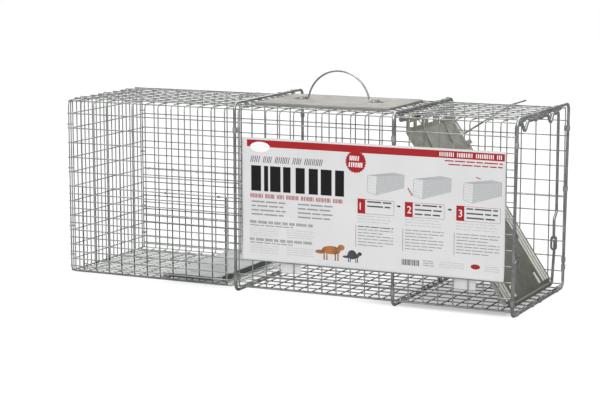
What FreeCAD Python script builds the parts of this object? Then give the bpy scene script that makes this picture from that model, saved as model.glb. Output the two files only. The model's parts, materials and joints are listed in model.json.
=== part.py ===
import FreeCAD, Part
import math
import os

# Live catch trap: a galvanised welded wire cage with one sloping drop door, a
# toggle lock frame at the entrance, a treadle near the rear and a carry handle.
# Frame: X runs from the closed rear (-X) to the entrance (+X), Y is the width
# (the card hangs on -Y), Z is up and 0 is the ground below the hoops.
# The model is at rest: door shut and locked, treadle down, handle upright.

# ---------------------------------------------------------------- cage sizes
LENGTH = 812.8
WIDTH = 254.0
HEIGHT = 304.8
WIRE_R = 1.0
HOOP_R = 2.5
PLAY = 0.1

MESH_LOW = 2 * HOOP_R + PLAY
MESH_TOP = MESH_LOW + HEIGHT
CELLS_LONG = 32
CELLS_HIGH = 12
CELLS_WIDE = 10
SEAM_CELL = 6
PITCH_X = (LENGTH - 2 * WIRE_R) / CELLS_LONG
PITCH_Y = WIDTH / CELLS_WIDE
PITCH_Z = HEIGHT / CELLS_HIGH
FOLD_R = 8.0

X_REAR = -LENGTH / 2 + WIRE_R
OUTER_Y = WIDTH / 2 - WIRE_R
INNER_Y = OUTER_Y - 2 * WIRE_R
EDGE_Y = INNER_Y - 2 * WIRE_R
FLOOR_OUT = MESH_LOW + WIRE_R
FLOOR_IN = FLOOR_OUT + 2 * WIRE_R
ROOF_OUT = MESH_TOP - WIRE_R
ROOF_IN = ROOF_OUT - 2 * WIRE_R
SEAM_Z = MESH_LOW + SEAM_CELL * PITCH_Z
SEAM_LAP = 0.3
END_PANEL_Y = 121.7
PANEL_UPRIGHT_X = X_REAR + 2 * WIRE_R + 0.05
PANEL_CROSS_X = PANEL_UPRIGHT_X + 2 * WIRE_R
PANEL_LOW = FLOOR_IN + WIRE_R + 0.3
PANEL_HIGH = ROOF_IN - WIRE_R - 0.3
EDGE_START_X = PANEL_CROSS_X + 2 * WIRE_R
GUARD_CELLS = 12
GUARD_STEP = 2 * WIRE_R + 0.05
GUARD_TAIL = 4.0

# ---------------------------------------------------------------- hoops
HOOP_BEND = 11.0
HOOP_Y = WIDTH / 2 + HOOP_R + PLAY
HOOP_TOP_Z = MESH_TOP + HOOP_R + PLAY
MIDDLE_HOOP_X = -79.7
MIDDLE_HOOP_TOP_Z = HOOP_TOP_Z + 4.0
MIDDLE_HOOP_COLUMN = 13
HINGE_HOOP_X = 203.2
HINGE_HOOP_COLUMN = 24
ENTRANCE_FOOT_X = 404.5
ENTRANCE_TOP_X = 409.0

# ---------------------------------------------------------------- clips and rings
CLIP_RIM = 0.9
CLIP_NECK = 1.6
CLIP_DEPTH = 8.5
CLIP_PLAY = 0.12
RING_WIRE_R = 0.9
RING_PLAY = 0.1
SEAM_RING_RIM = 0.8
SEAM_RING_NECK = 1.2
SEAM_RING_WIDE = 2.2
NEAR_SEAM_RINGS = (3.5, 7.5, 11.5, 15.5, 19.5, 23.5, 27.5)
FAR_SEAM_RINGS = (0.5, 2.5, 4.5, 7.5, 11.5, 15.5, 19.5, 23.5, 27.5)
GUARD_RING_Z = (65.3, 101.0, 140.0)
END_RING_ROWS = (1.25, 3.25, 7.25, 10.25)
END_RING_PLACES = (-3.25, -0.25, 2.75)

# ---------------------------------------------------------------- guard plate and handle
PLATE_X0 = -71.0
PLATE_X1 = 173.0
PLATE_HALF_Y = 77.0
PLATE_T = 1.2
PLATE_EDGE_R = 3.0
PLATE_LOW = MESH_TOP + PLAY
PLATE_TOP = PLATE_LOW + 4.5
HANDLE_X = 49.7
HANDLE_RISE = 47.4
HANDLE_BOW_R = 56.6
HANDLE_LEG = 6.0
HANDLE_LEG_LIFT = HANDLE_LEG + HANDLE_BOW_R - HANDLE_RISE
HANDLE_LEG_X = math.sqrt(HANDLE_BOW_R ** 2 - HANDLE_LEG_LIFT ** 2)
HANDLE_HALF = HANDLE_LEG_X + HANDLE_LEG * HANDLE_LEG_LIFT / HANDLE_LEG_X
HANDLE_WIRE_R = 1.6
HANDLE_AXIS_Z = PLATE_TOP + HANDLE_WIRE_R + 0.2
HANDLE_BEND = 4.0
PLATE_CORNER = 6.0
PLATE_SLOT_OFFSET = 13.0
PLATE_SLOT_HALF = 9.0
PLATE_SLOT_WIDTH = 5.0
PLATE_WINDOW_PITCH = 19.0
PLATE_WINDOW = (4.0, 9.0)
PLATE_WINDOW_HALF = 5.0
PLATE_WINDOW_LAST = 3
SADDLE_LENGTH = 12.0
SADDLE_OFFSET = HANDLE_HALF + HANDLE_BEND + SADDLE_LENGTH / 2 + 0.6
SADDLE_SHEET = 1.5
SADDLE_HALF = 12.0
STRAP_SHEET = 1.2
STRAP_HALF = 13.0
STRAP_LAP = 3.0
STRAP_COLUMNS = (15, 20)
RIVET_Y = 8.0
RIVET_R = 1.5
RIVET_HEAD_R = 3.2
RIVET_TAIL_R = 2.6
RIVET_TAIL_T = 1.0
RIVET_DOME_DROP = 1.8

# ---------------------------------------------------------------- door
HINGE_X = 209.5
HINGE_Z = 301.4
HINGE_ROD_R = 2.5
HINGE_ROD_HALF = 113.0
SHEET = 1.0
RUN = 0.05
STRAP_Y = (-108.0, -38.1, 38.1, 108.0)
EYE_RIM = 1.65
EYE_DEPTH = 4.0
EYE_PLAY = 0.01
NECK_HALF = 1.7
KNUCKLE_Y = ((-100.0, -70.0), (-15.0, 15.0), (70.0, 100.0))
KNUCKLE_R = 3.9
CAP_RIM = 1.6
CAP_T = 1.5
SPRING_Y0 = 45.0
SPRING_TURNS = 9
SPRING_WIRE_R = 0.8
SPRING_COIL_R = 3.9
FLANGE_X = 215.0
FLANGE_BEND_Z = 284.0
FLANGE_FOOT = 5.3
SHEET_START = 4.2
DOOR_FOOT_X = 395.0
DOOR_FOOT_Z = 14.0
DOOR_HALF = 112.0
DOOR_NECK_HALF = 104.0
DOOR_NECK_LENGTH = 46.0
DOOR_RIM = 5.0
DOOR_LIP = 3.0
DOOR_RIM_START = DOOR_NECK_LENGTH + 6.0
DOOR_RIM_STOP = 6.0
LOCK_ROD_R = 2.4
CURL_R = LOCK_ROD_R + RUN + SHEET + 0.1
CURL_HALF = 90.0
SHEET_N0 = -CURL_R
SHEET_N1 = SHEET_N0 + SHEET
WINDOW_Y = (-85.0, -50.0, 0.0, 50.0, 85.0)
WINDOW_HALF = 11.0
WINDOW_LOW = 286.0
WINDOW_HIGH = 294.5
CATCH_S = 50.0
CATCH_HALF = 4.0
CATCH_N = 0.4
CATCH_END = 116.4
CATCH_LAP = 10.0
RIDGE_Y = (80.0, 91.0, 102.0)
RIDGE_SHORT_Y = 60.0
RIDGE_SHORT_LENGTH = 20.0
RIDGE_START = 60.0
RIDGE_STOP = 10.0
RIDGE_BASE = 3.4
RIDGE_CREST = 1.4
RIDGE_HEIGHT = 2.2

# ---------------------------------------------------------------- lock frame
LOCK_X = 399.0
LOCK_BAR_Z = 301.0
KNEE_Z = 85.0
ARM_Y = 106.0
ARM_EYE_Y = 94.0
LINK_Y = 100.0
DIP_Y = 64.8
DIP_HALF = 14.0
DIP_DEPTH = 16.0
JOG_LOW = KNEE_Z + 38.0
JOG_HIGH = KNEE_Z + 49.0
ARM_BEND = 6.0
LINK_BEND = 3.2
PIN_END = ARM_EYE_Y + LOCK_ROD_R + PLAY
KNEE_EYE_T = 3.0
KNEE_EYE_R = 5.6
KNEE_SLOT_R = 2.7
KNEE_EYE_TOP = KNEE_Z + 5.0
KNEE_EYE_FOOT = KNEE_Z - 9.0
KNEE_SLOT_TOP = KNEE_Z + 2.0
HANGER_Y = (-88.9, -12.7, 12.7, 88.9)

# ---------------------------------------------------------------- trigger
SHAFT_R = 1.6
SHAFT_Y = 118.5
SHAFT_Z = 302.0
CRANK_X = -190.0
CRANK_LENGTH = 15.0
SHAFT_BEND = 4.0
SHAFT_RUN_END = 205.0
DIP_TOP = (212.9, 276.9)
DIP_FOOT = (228.6, 254.0)
RISE_START = (276.0, 284.0)
RISE_THROUGH = (314.0, 308.0)
SHAFT_TIP = (338.3, 315.8)
GUIDE_COLUMNS = (9.5, 15.5, 21.5)
GUIDE_RIM = 1.5
GUIDE_NECK = 1.6
TRIP_LINK_Y = 106.0
TRIP_LINK_R = 1.25
TRIP_LINK_BEND = 2.5
LINK_FOOT_Z = 21.2
LINK_EYE_R = 3.8
LINK_EYE_HOLE_R = 2.2
LINK_EYE_HALF = 1.5
LINK_FOOT_LENGTH = 8.0
LINK_EYE_LAP = 3.0
TREADLE_PIVOT_X = -220.0
TREADLE_PIVOT_Z = 15.5
TREADLE_FRONT_X = -117.0
TREADLE_HALF = 119.0
TREADLE_ROD_R = 2.0
TREADLE_ROD_HALF = 122.0
TREADLE_CORNER = 14.0
TREADLE_CURL_R = TREADLE_ROD_R + RUN + 1.1
TREADLE_TOP = TREADLE_PIVOT_Z + TREADLE_CURL_R
TREADLE_EDGE = 6.0
TREADLE_EDGE_INSET = 6.0
TREADLE_LIP_GAP = 0.6
LUG_Y = (101.0, 102.0)
LUG_HALF = 5.0
LUG_RISE = 6.5
LUG_HOLE_R = 2.35
TREADLE_SLOT_X = (-188.0, -176.0)
TREADLE_SLOT_Y = 88.0
TREADLE_SLOT_HALF = 2.2
BRACKET_IN = 119.4
BRACKET_OUT = 120.9
BRACKET_R = 4.2
BRACKET_FOOT_IN = 106.0
BRACKET_FOOT_OUT = 115.5
BRACKET_FOOT_REACH = 14.0
BRACKET_SHEET = 1.2

# ---------------------------------------------------------------- card
CARD_X0 = -64.5
CARD_X1 = 392.5
CARD_Z0 = 58.0
CARD_Z1 = 262.0
CARD_T = 1.0
CARD_Y = -(HOOP_Y + HOOP_R + PLAY)
TAB_COLUMNS = (16, 28)
TAB_T = 0.6
TAB_GAP = 0.4
TAB_TOP = MESH_LOW + 2.75 * PITCH_Z
TAB_FOOT = 38.5
TAB_NECK = (2.0, 23.0)
TAB_WIDE = (1.0, 37.0)

X_AXIS = FreeCAD.Vector(1, 0, 0)
Y_AXIS = FreeCAD.Vector(0, 1, 0)
Z_AXIS = FreeCAD.Vector(0, 0, 1)


# ---------------------------------------------------------------- helpers
def vec(x, y, z):
    return FreeCAD.Vector(x, y, z)


def box(x0, x1, y0, y1, z0, z1):
    return Part.makeBox(x1 - x0, y1 - y0, z1 - z0, vec(x0, y0, z0))


def rod(start, end, radius):
    axis = end - start
    return Part.makeCylinder(radius, axis.Length, start, axis)


def cylinder_y(x, z, radius, y0, y1):
    return Part.makeCylinder(radius, y1 - y0, vec(x, y0, z), Y_AXIS)


def moved(shape, x, y, z):
    copy = shape.copy()
    copy.translate(vec(x, y, z))
    return copy


def mirrored_y(shape):
    return shape.mirror(vec(0, 0, 0), Y_AXIS)


def rounded_path(points, bend, closed=False):
    """Edges of a polyline whose corners are arcs of radius bend."""
    count = len(points)
    corners = range(count) if closed else range(1, count - 1)
    starts = {}
    ends = {}
    arcs = {}
    for i in corners:
        here = points[i]
        back = (points[i - 1] - here).normalize()
        ahead = (points[(i + 1) % count] - here).normalize()
        half = back.getAngle(ahead) / 2
        reach = bend / math.tan(half)
        middle = (back + ahead).normalize()
        centre = here + middle * (bend / math.sin(half))
        starts[i] = here + back * reach
        ends[i] = here + ahead * reach
        arcs[i] = Part.Arc(starts[i], centre - middle * bend, ends[i]).toShape()
    edges = []
    spans = count if closed else count - 1
    for i in range(spans):
        following = (i + 1) % count
        first = ends.get(i, points[i])
        last = starts.get(following, points[following])
        if (last - first).Length > 1e-6:
            edges.append(Part.makeLine(first, last))
        if following in arcs:
            edges.append(arcs[following])
    return edges


def bent_rod(points, radius, bend, closed=False):
    """A round rod swept along a polyline with rounded corners."""
    edges = rounded_path(points, bend, closed)
    path = Part.Wire(edges)
    start = edges[0].Vertexes[0].Point
    direction = edges[0].tangentAt(edges[0].FirstParameter)
    profile = Part.Wire([Part.makeCircle(radius, start, direction)])
    return path.makePipeShell([profile], True, True)


def joined(shapes):
    """One solid made of overlapping shapes."""
    return shapes[0].multiFuse(shapes[1:]).removeSplitter()


def tie_ring(first, first_r, second, second_r, axis):
    """A closed wire ring around two parallel wires, seen along axis."""
    gap = second - first
    inner = (gap.Length + first_r + second_r) / 2 + RING_PLAY
    centre = first + gap.normalize() * ((second - first).Length + second_r - first_r) / 2
    return Part.makeTorus(inner + RING_WIRE_R, RING_WIRE_R, centre, axis)


def eye_strap(low, low_hole, high, high_hole, rim, neck, y, depth):
    """A strap in an XZ plane with an eye at each end."""
    y0 = y - depth / 2
    y1 = y + depth / 2
    along = vec(high[0] - low[0], 0, high[1] - low[1])
    side = vec(along.z, 0, -along.x).normalize() * neck
    start = vec(low[0], y0, low[1])
    corners = [start + side, start + along + side, start + along - side, start - side]
    face = Part.Face(Part.makePolygon(corners + [corners[0]]))
    body = joined([
        face.extrude(vec(0, depth, 0)),
        cylinder_y(low[0], low[1], low_hole + rim, y0, y1),
        cylinder_y(high[0], high[1], high_hole + rim, y0, y1),
    ])
    body = body.cut(cylinder_y(low[0], low[1], low_hole, y0 - 1, y1 + 1))
    return body.cut(cylinder_y(high[0], high[1], high_hole, y0 - 1, y1 + 1))


def export(name, shapes):
    Part.makeCompound(shapes).exportStep("parts/" + name + ".step")


def column_x(k):
    return X_REAR + k * PITCH_X


# ---------------------------------------------------------------- wire mesh
def side_wire(z_end, z_fold, side):
    """A side wire from the seam to the fold, with the folded corner at its end."""
    points = [
        vec(0, side * INNER_Y, z_end),
        vec(0, side * INNER_Y, z_fold),
        vec(0, side * (INNER_Y - FOLD_R), z_fold),
    ]
    return bent_rod(points, WIRE_R, FOLD_R)


def cross_wires(z_seam, z_fold, stations):
    """The wires that run across a folded sheet, one set at each x station."""
    flat = INNER_Y - FOLD_R
    column = [
        side_wire(z_seam, z_fold, 1),
        side_wire(z_seam, z_fold, -1),
        rod(vec(0, -flat, z_fold), vec(0, flat, z_fold), WIRE_R),
    ]
    return [moved(s, x, 0, 0) for x in stations for s in column]


def long_wires(places, x0=-LENGTH / 2, x1=LENGTH / 2):
    """Wires along the cage at the given (y, z) places."""
    return [rod(vec(x0, y, z), vec(x1, y, z), WIRE_R) for y, z in places]


def fold_wire_place(z_fold, outward):
    """The place of the wire that lies outside the middle of a folded corner."""
    reach = (FOLD_R + 2 * WIRE_R) * math.sqrt(0.5)
    return INNER_Y - FOLD_R + reach, z_fold - outward * FOLD_R + outward * reach


def all_columns():
    return [column_x(k) for k in range(CELLS_LONG + 1)]


def upper_mesh():
    """The upper half of the cage: roof and upper sides, edge wires outside the uprights."""
    places = []
    fold_y, fold_z = fold_wire_place(ROOF_IN, 1)
    for side in (-1, 1):
        places.append((side * OUTER_Y, SEAM_Z + SEAM_LAP))
        places.append((side * fold_y, fold_z))
        for j in range(SEAM_CELL + 1, CELLS_HIGH):
            places.append((side * OUTER_Y, MESH_LOW + j * PITCH_Z))
    for i in range(1, CELLS_WIDE):
        places.append((-WIDTH / 2 + i * PITCH_Y, ROOF_OUT))
    return cross_wires(SEAM_Z + RUN, ROOF_IN, all_columns()) + long_wires(places)


def lower_mesh():
    """The lower half of the cage: floor and lower sides, edge wires inside the uprights."""
    places = []
    edges = []
    fold_y, fold_z = fold_wire_place(FLOOR_IN, -1)
    for side in (-1, 1):
        edges.append((side * EDGE_Y, SEAM_Z - SEAM_LAP))
        places.append((side * fold_y, fold_z))
        for j in range(1, SEAM_CELL):
            places.append((side * OUTER_Y, MESH_LOW + j * PITCH_Z))
    for i in range(1, CELLS_WIDE):
        places.append((-WIDTH / 2 + i * PITCH_Y, FLOOR_OUT))
    wires = cross_wires(SEAM_Z - RUN, FLOOR_IN, all_columns()) + long_wires(places)
    return wires + long_wires(edges, x0=EDGE_START_X)


def bait_guard_mesh():
    """Extra wires at half pitch in the rear of the lower half, with one end upright."""
    end_x = column_x(GUARD_CELLS) + GUARD_STEP
    places = []
    for side in (-1, 1):
        for j in range(SEAM_CELL):
            places.append((side * OUTER_Y, MESH_LOW + (j + 0.5) * PITCH_Z))
    for i in range(CELLS_WIDE):
        places.append((-WIDTH / 2 + (i + 0.5) * PITCH_Y, FLOOR_OUT))
    wires = cross_wires(SEAM_Z - RUN, FLOOR_IN, [end_x])
    return wires + long_wires(places, x1=end_x + GUARD_TAIL)


def rear_end_mesh():
    """The closed end: uprights at half pitch, cross wires at full pitch inside them."""
    rows = [MESH_LOW + j * PITCH_Z for j in range(1, CELLS_HIGH)]
    rows = [PANEL_LOW + WIRE_R] + rows + [PANEL_HIGH - WIRE_R]
    columns = [i * PITCH_Y / 2 for i in range(1 - CELLS_WIDE, CELLS_WIDE)]
    columns = [-END_PANEL_Y + WIRE_R] + columns + [END_PANEL_Y - WIRE_R]
    wires = []
    for y in columns:
        wires.append(rod(vec(PANEL_UPRIGHT_X, y, PANEL_LOW), vec(PANEL_UPRIGHT_X, y, PANEL_HIGH), WIRE_R))
    for z in rows:
        wires.append(rod(vec(PANEL_CROSS_X, -END_PANEL_Y, z), vec(PANEL_CROSS_X, END_PANEL_Y, z), WIRE_R))
    return wires


def seam_ring(side):
    """A ring squeezed flat around the two edge wires of the seam, at x = 0."""
    outer = (side * OUTER_Y, SEAM_Z + SEAM_LAP)
    inner = (side * EDGE_Y, SEAM_Z - SEAM_LAP)
    hole = WIRE_R + CLIP_PLAY
    ring = eye_strap(inner, hole, outer, hole, SEAM_RING_RIM, SEAM_RING_NECK, 0, SEAM_RING_WIDE)
    ring.rotate(vec(0, 0, 0), Z_AXIS, 90)
    return ring


def seam_rings():
    """Rings that lace the upper and lower sheets together along both sides."""
    near = [moved(seam_ring(-1), column_x(k), 0, 0) for k in NEAR_SEAM_RINGS]
    far = [moved(seam_ring(1), column_x(k), 0, 0) for k in FAR_SEAM_RINGS]
    return near + far


def end_panel_rings():
    """Rings that lace the rear panel's edge wires to the cage's first column."""
    rings = []
    for side in (-1, 1):
        for j in END_RING_ROWS:
            z = MESH_LOW + j * PITCH_Z
            cage = vec(X_REAR, side * INNER_Y, z)
            panel = vec(PANEL_UPRIGHT_X, side * (END_PANEL_Y - WIRE_R), z)
            rings.append(tie_ring(cage, WIRE_R, panel, WIRE_R, Z_AXIS))
    for i in END_RING_PLACES:
        for cage_z, panel_z in ((ROOF_IN, PANEL_HIGH - WIRE_R), (FLOOR_IN, PANEL_LOW + WIRE_R)):
            cage = vec(X_REAR, i * PITCH_Y, cage_z)
            panel = vec(PANEL_CROSS_X, i * PITCH_Y, panel_z)
            rings.append(tie_ring(cage, WIRE_R, panel, WIRE_R, Y_AXIS))
    return rings


# ---------------------------------------------------------------- hoops
def hoop(foot_x, top_x, top_z):
    """A rod hoop with rounded corners around the outside of the mesh."""
    halves = []
    for side in (1, -1):
        points = [
            vec(foot_x, 0, HOOP_R),
            vec(foot_x, side * HOOP_Y, HOOP_R),
            vec(top_x, side * HOOP_Y, top_z),
            vec(top_x, 0, top_z),
        ]
        halves.append(bent_rod(points, HOOP_R, HOOP_BEND))
    return joined(halves)


def wrap_clip(bar, wire, y):
    """A clip squeezed around a hoop bar and a mesh wire that both run along Y."""
    bar_hole = HOOP_R + CLIP_PLAY
    wire_hole = WIRE_R + CLIP_PLAY
    return eye_strap(bar, bar_hole, wire, wire_hole, CLIP_RIM, CLIP_NECK, y, CLIP_DEPTH)


def side_clip(bar, wire, z):
    """The same clip around an upright leg and an upright wire; bar and wire are (x, y)."""
    clip = wrap_clip(bar, wire, -z)
    clip.rotate(vec(0, 0, 0), X_AXIS, -90)
    return clip


def leg_clips(foot_x, top_x, top_z, column, side, rows):
    """Clips up one leg of a hoop, at heights counted in mesh squares."""
    clips = []
    for row in rows:
        z = MESH_LOW + row * PITCH_Z
        x = foot_x + (top_x - foot_x) * (z - HOOP_R) / (top_z - HOOP_R)
        wire = (column_x(column), side * INNER_Y)
        clips.append(side_clip((x, side * HOOP_Y), wire, z))
    return clips


def bar_clips(foot_x, top_x, top_z, column, floor_places, roof_places):
    """Clips along a hoop's bottom and top bars, at places counted in mesh squares."""
    ground = box(-LENGTH, LENGTH, -WIDTH, WIDTH, RUN, HEIGHT)
    clips = []
    for place in floor_places:
        y = -WIDTH / 2 + place * PITCH_Y
        clip = wrap_clip((foot_x, HOOP_R), (column_x(column), FLOOR_IN), y)
        clips.append(clip.common(ground))
    for place in roof_places:
        y = -WIDTH / 2 + place * PITCH_Y
        clips.append(wrap_clip((top_x, top_z), (column_x(column), ROOF_IN), y))
    return clips


def hoop_clips():
    """Clips that tie each hoop to the nearest wires of the mesh, clear of the card."""
    middle = (MIDDLE_HOOP_X, MIDDLE_HOOP_X, MIDDLE_HOOP_TOP_Z, MIDDLE_HOOP_COLUMN)
    hinge = (HINGE_HOOP_X, HINGE_HOOP_X, HOOP_TOP_Z, HINGE_HOOP_COLUMN)
    entrance = (ENTRANCE_FOOT_X, ENTRANCE_TOP_X, HOOP_TOP_Z, CELLS_LONG)
    clips = []
    for place in (middle, hinge, entrance):
        clips += leg_clips(*place, -1, (0.75, 10.5))
    clips += leg_clips(*middle, 1, (0.75, 4.25, 8.5, 10.5))
    clips += leg_clips(*hinge, 1, (0.75, 4.25, 8.5, 10.5))
    clips += leg_clips(*entrance, 1, (1.25, 1.75, 6.5, 10.5))
    clips += bar_clips(*middle, (1.75, 5.25, 8.25), (1.5, 3.5, 6.5, 8.5))
    clips += bar_clips(*hinge, (1.75, 5.25, 8.25), (1.5, 2.5, 4.5, 5.5, 7.5, 8.5))
    clips += bar_clips(*entrance, (0.75, 3.75, 5.25, 8.75), (2.5, 3.5, 6.5, 7.5))
    return clips


def guard_rings():
    """Rings that lace the guard mesh's front upright to the cage's upright beside it."""
    cage_x = column_x(GUARD_CELLS)
    rings = []
    for z in GUARD_RING_Z:
        cage = vec(cage_x, -INNER_Y, z)
        guard = vec(cage_x + GUARD_STEP, -INNER_Y, z)
        rings.append(tie_ring(cage, WIRE_R, guard, WIRE_R, Z_AXIS))
    return rings


# ---------------------------------------------------------------- guard plate and handle
def saddle_places():
    return (HANDLE_X - SADDLE_OFFSET, HANDLE_X + SADDLE_OFFSET)


def rivet_places():
    return [(x, side * RIVET_Y) for x in saddle_places() for side in (-1, 1)]


def drilled(shape, z0, z1, play=RUN):
    """A shape with the rivet holes of the handle saddles through it."""
    for x, y in rivet_places():
        shape = shape.cut(Part.makeCylinder(RIVET_R + play, z1 - z0, vec(x, y, z0)))
    return shape


def rounded_tray(x0, x1, half, z0, z1, corner, edge):
    """A block with round upright corners and a rounded top edge."""
    block = box(x0, x1, -half, half, z0, z1)
    uprights = [e for e in block.Edges if abs(e.tangentAt(e.FirstParameter).z) > 0.9]
    block = block.makeFillet(corner, uprights)
    rim = [e for e in block.Edges if e.BoundBox.ZMin > z1 - 0.01]
    return block.makeFillet(edge, rim)


def guard_plate():
    """A shallow tray turned upside down over the roof mesh, to guard the hand."""
    low, top, half = PLATE_LOW, PLATE_TOP, PLATE_HALF_Y
    outer = rounded_tray(PLATE_X0, PLATE_X1, half, low, top, PLATE_CORNER, PLATE_EDGE_R)
    inner = rounded_tray(
        PLATE_X0 + PLATE_T, PLATE_X1 - PLATE_T, half - PLATE_T, low - 1, top - PLATE_T,
        PLATE_CORNER - PLATE_T, PLATE_EDGE_R - PLATE_T,
    )
    plate = outer.cut(inner)
    for side in (-1, 1):
        x = HANDLE_X + side * (SADDLE_OFFSET + PLATE_SLOT_OFFSET)
        x0, x1 = x - PLATE_SLOT_WIDTH / 2, x + PLATE_SLOT_WIDTH / 2
        plate = plate.cut(box(x0, x1, -PLATE_SLOT_HALF, PLATE_SLOT_HALF, low, top + 1))
    x0, x1 = PLATE_X0 + PLATE_WINDOW[0], PLATE_X0 + PLATE_WINDOW[1]
    for i in range(-PLATE_WINDOW_LAST, PLATE_WINDOW_LAST + 1):
        y0 = i * PLATE_WINDOW_PITCH - PLATE_WINDOW_HALF
        y1 = i * PLATE_WINDOW_PITCH + PLATE_WINDOW_HALF
        plate = plate.cut(box(x0, x1, y0, y1, low, top + 1))
    return drilled(plate, low, top + 1)


def handle_saddles():
    """Two pressed saddles that hold the handle's feet down on the plate."""
    saddles = []
    top_r = HANDLE_WIRE_R + RUN + SADDLE_SHEET
    for x in saddle_places():
        x0 = x - SADDLE_LENGTH / 2
        x1 = x + SADDLE_LENGTH / 2
        hump = Part.makeCylinder(top_r, SADDLE_LENGTH, vec(x0, 0, HANDLE_AXIS_Z), X_AXIS)
        walls = box(x0, x1, -top_r, top_r, PLATE_TOP, HANDLE_AXIS_Z)
        feet = box(x0, x1, -SADDLE_HALF, SADDLE_HALF, PLATE_TOP, PLATE_TOP + STRAP_SHEET)
        body = joined([hump, walls, feet])
        body = body.common(box(x0, x1, -20, 20, PLATE_TOP, PLATE_TOP + 20))
        bore_r = HANDLE_WIRE_R + RUN
        body = body.cut(Part.makeCylinder(bore_r, 40, vec(x - 20, 0, HANDLE_AXIS_Z), X_AXIS))
        body = body.cut(box(x0 - 1, x1 + 1, -bore_r, bore_r, PLATE_TOP - 1, HANDLE_AXIS_Z))
        saddles.append(drilled(body, PLATE_TOP - 1, PLATE_TOP + 3))
    return saddles


def backing_straps():
    """Small straps under the roof wires that the saddle rivets clench onto."""
    straps = []
    top = ROOF_IN - WIRE_R - RUN
    for k in STRAP_COLUMNS:
        x0 = column_x(k) - STRAP_LAP
        x1 = column_x(k + 1) + STRAP_LAP
        strap = box(x0, x1, -STRAP_HALF, STRAP_HALF, top - STRAP_SHEET, top)
        straps.append(drilled(strap, top - 2 * STRAP_SHEET, top + 1))
    return straps


def handle_rivets():
    rivets = []
    low = ROOF_IN - WIRE_R - RUN - STRAP_SHEET
    high = PLATE_TOP + STRAP_SHEET
    for x, y in rivet_places():
        shank = Part.makeCylinder(RIVET_R, high - low, vec(x, y, low))
        head = Part.makeSphere(RIVET_HEAD_R, vec(x, y, high - RIVET_DOME_DROP))
        head = head.common(box(x - 4, x + 4, y - 4, y + 4, high, high + 4))
        tail = Part.makeCylinder(RIVET_TAIL_R, RIVET_TAIL_T, vec(x, y, low - RIVET_TAIL_T))
        rivets.append(joined([shank, head, tail]))
    return rivets


def carry_handle():
    """A round bow on two short leaning legs whose ends turn outwards under the saddles."""
    pin_end = SADDLE_OFFSET + SADDLE_LENGTH / 2 + 3
    leg_top = HANDLE_AXIS_Z + HANDLE_LEG
    left = [
        vec(HANDLE_X - pin_end, 0, HANDLE_AXIS_Z),
        vec(HANDLE_X - HANDLE_HALF, 0, HANDLE_AXIS_Z),
        vec(HANDLE_X - HANDLE_LEG_X, 0, leg_top),
    ]
    right = [vec(2 * HANDLE_X - p.x, 0, p.z) for p in left]
    crown = vec(HANDLE_X, 0, HANDLE_AXIS_Z + HANDLE_RISE)
    bow = Part.Arc(left[2], crown, right[2]).toShape()
    edges = rounded_path(left, HANDLE_BEND) + [bow] + rounded_path(right, HANDLE_BEND)
    path = Part.Wire(Part.__sortEdges__(edges))
    profile = Part.Wire([Part.makeCircle(HANDLE_WIRE_R, left[0], X_AXIS)])
    return path.makePipeShell([profile], True, True)


# ---------------------------------------------------------------- door hinge
def door_hinge_rod():
    return cylinder_y(HINGE_X, HINGE_Z, HINGE_ROD_R, -HINGE_ROD_HALF, HINGE_ROD_HALF)


def hinge_straps():
    """Straps that hang the hinge rod from the top bar of the hinge hoop."""
    low = (HINGE_X, HINGE_Z)
    high = (HINGE_HOOP_X, HOOP_TOP_Z)
    hole = HINGE_ROD_R + EYE_PLAY
    bar = HOOP_R + EYE_PLAY
    return [eye_strap(low, hole, high, bar, EYE_RIM, NECK_HALF, y, EYE_DEPTH) for y in STRAP_Y]


def door_springs():
    """The coils of the two torsion springs around the hinge rod."""
    pitch = 2 * SPRING_WIRE_R + 0.1
    helix = Part.makeHelix(pitch, pitch * SPRING_TURNS, SPRING_COIL_R)
    start = vec(SPRING_COIL_R, 0, 0)
    profile = Part.Wire([Part.makeCircle(SPRING_WIRE_R, start, Y_AXIS)])
    coil = Part.Wire(helix.Edges).makePipeShell([profile], True, True)
    coil.rotate(vec(0, 0, 0), X_AXIS, -90)
    springs = []
    for y in (SPRING_Y0, -SPRING_Y0 - pitch * SPRING_TURNS):
        springs.append(moved(coil, HINGE_X, y, HINGE_Z))
    return springs


def hinge_rod_caps():
    """Push-on washers that keep the hinge rod in its straps."""
    caps = []
    for y0 in (-HINGE_ROD_HALF, HINGE_ROD_HALF - CAP_T):
        washer = cylinder_y(HINGE_X, HINGE_Z, HINGE_ROD_R + CAP_RIM, y0, y0 + CAP_T)
        caps.append(washer.cut(cylinder_y(HINGE_X, HINGE_Z, HINGE_ROD_R + EYE_PLAY, y0, y0 + CAP_T)))
    return caps


# ---------------------------------------------------------------- door
def door_axes():
    """Direction down the sloping sheet and the outward direction off it."""
    run = vec(DOOR_FOOT_X - FLANGE_X, 0, DOOR_FOOT_Z - FLANGE_BEND_Z)
    length = run.Length
    along = run.normalize()
    return length, along, vec(-along.z, 0, along.x)


def on_door(s, n, y):
    """A point s down the sheet and n off the line through the foot's axis."""
    length, along, out = door_axes()
    return vec(FLANGE_X, y, FLANGE_BEND_Z) + along * s + out * n


def door_slab(s0, s1, n0, n1, y0, y1):
    corners = [on_door(s0, n0, y0), on_door(s1, n0, y0), on_door(s1, n1, y0), on_door(s0, n1, y0)]
    return Part.Face(Part.makePolygon(corners + [corners[0]])).extrude(vec(0, y1 - y0, 0))


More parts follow.
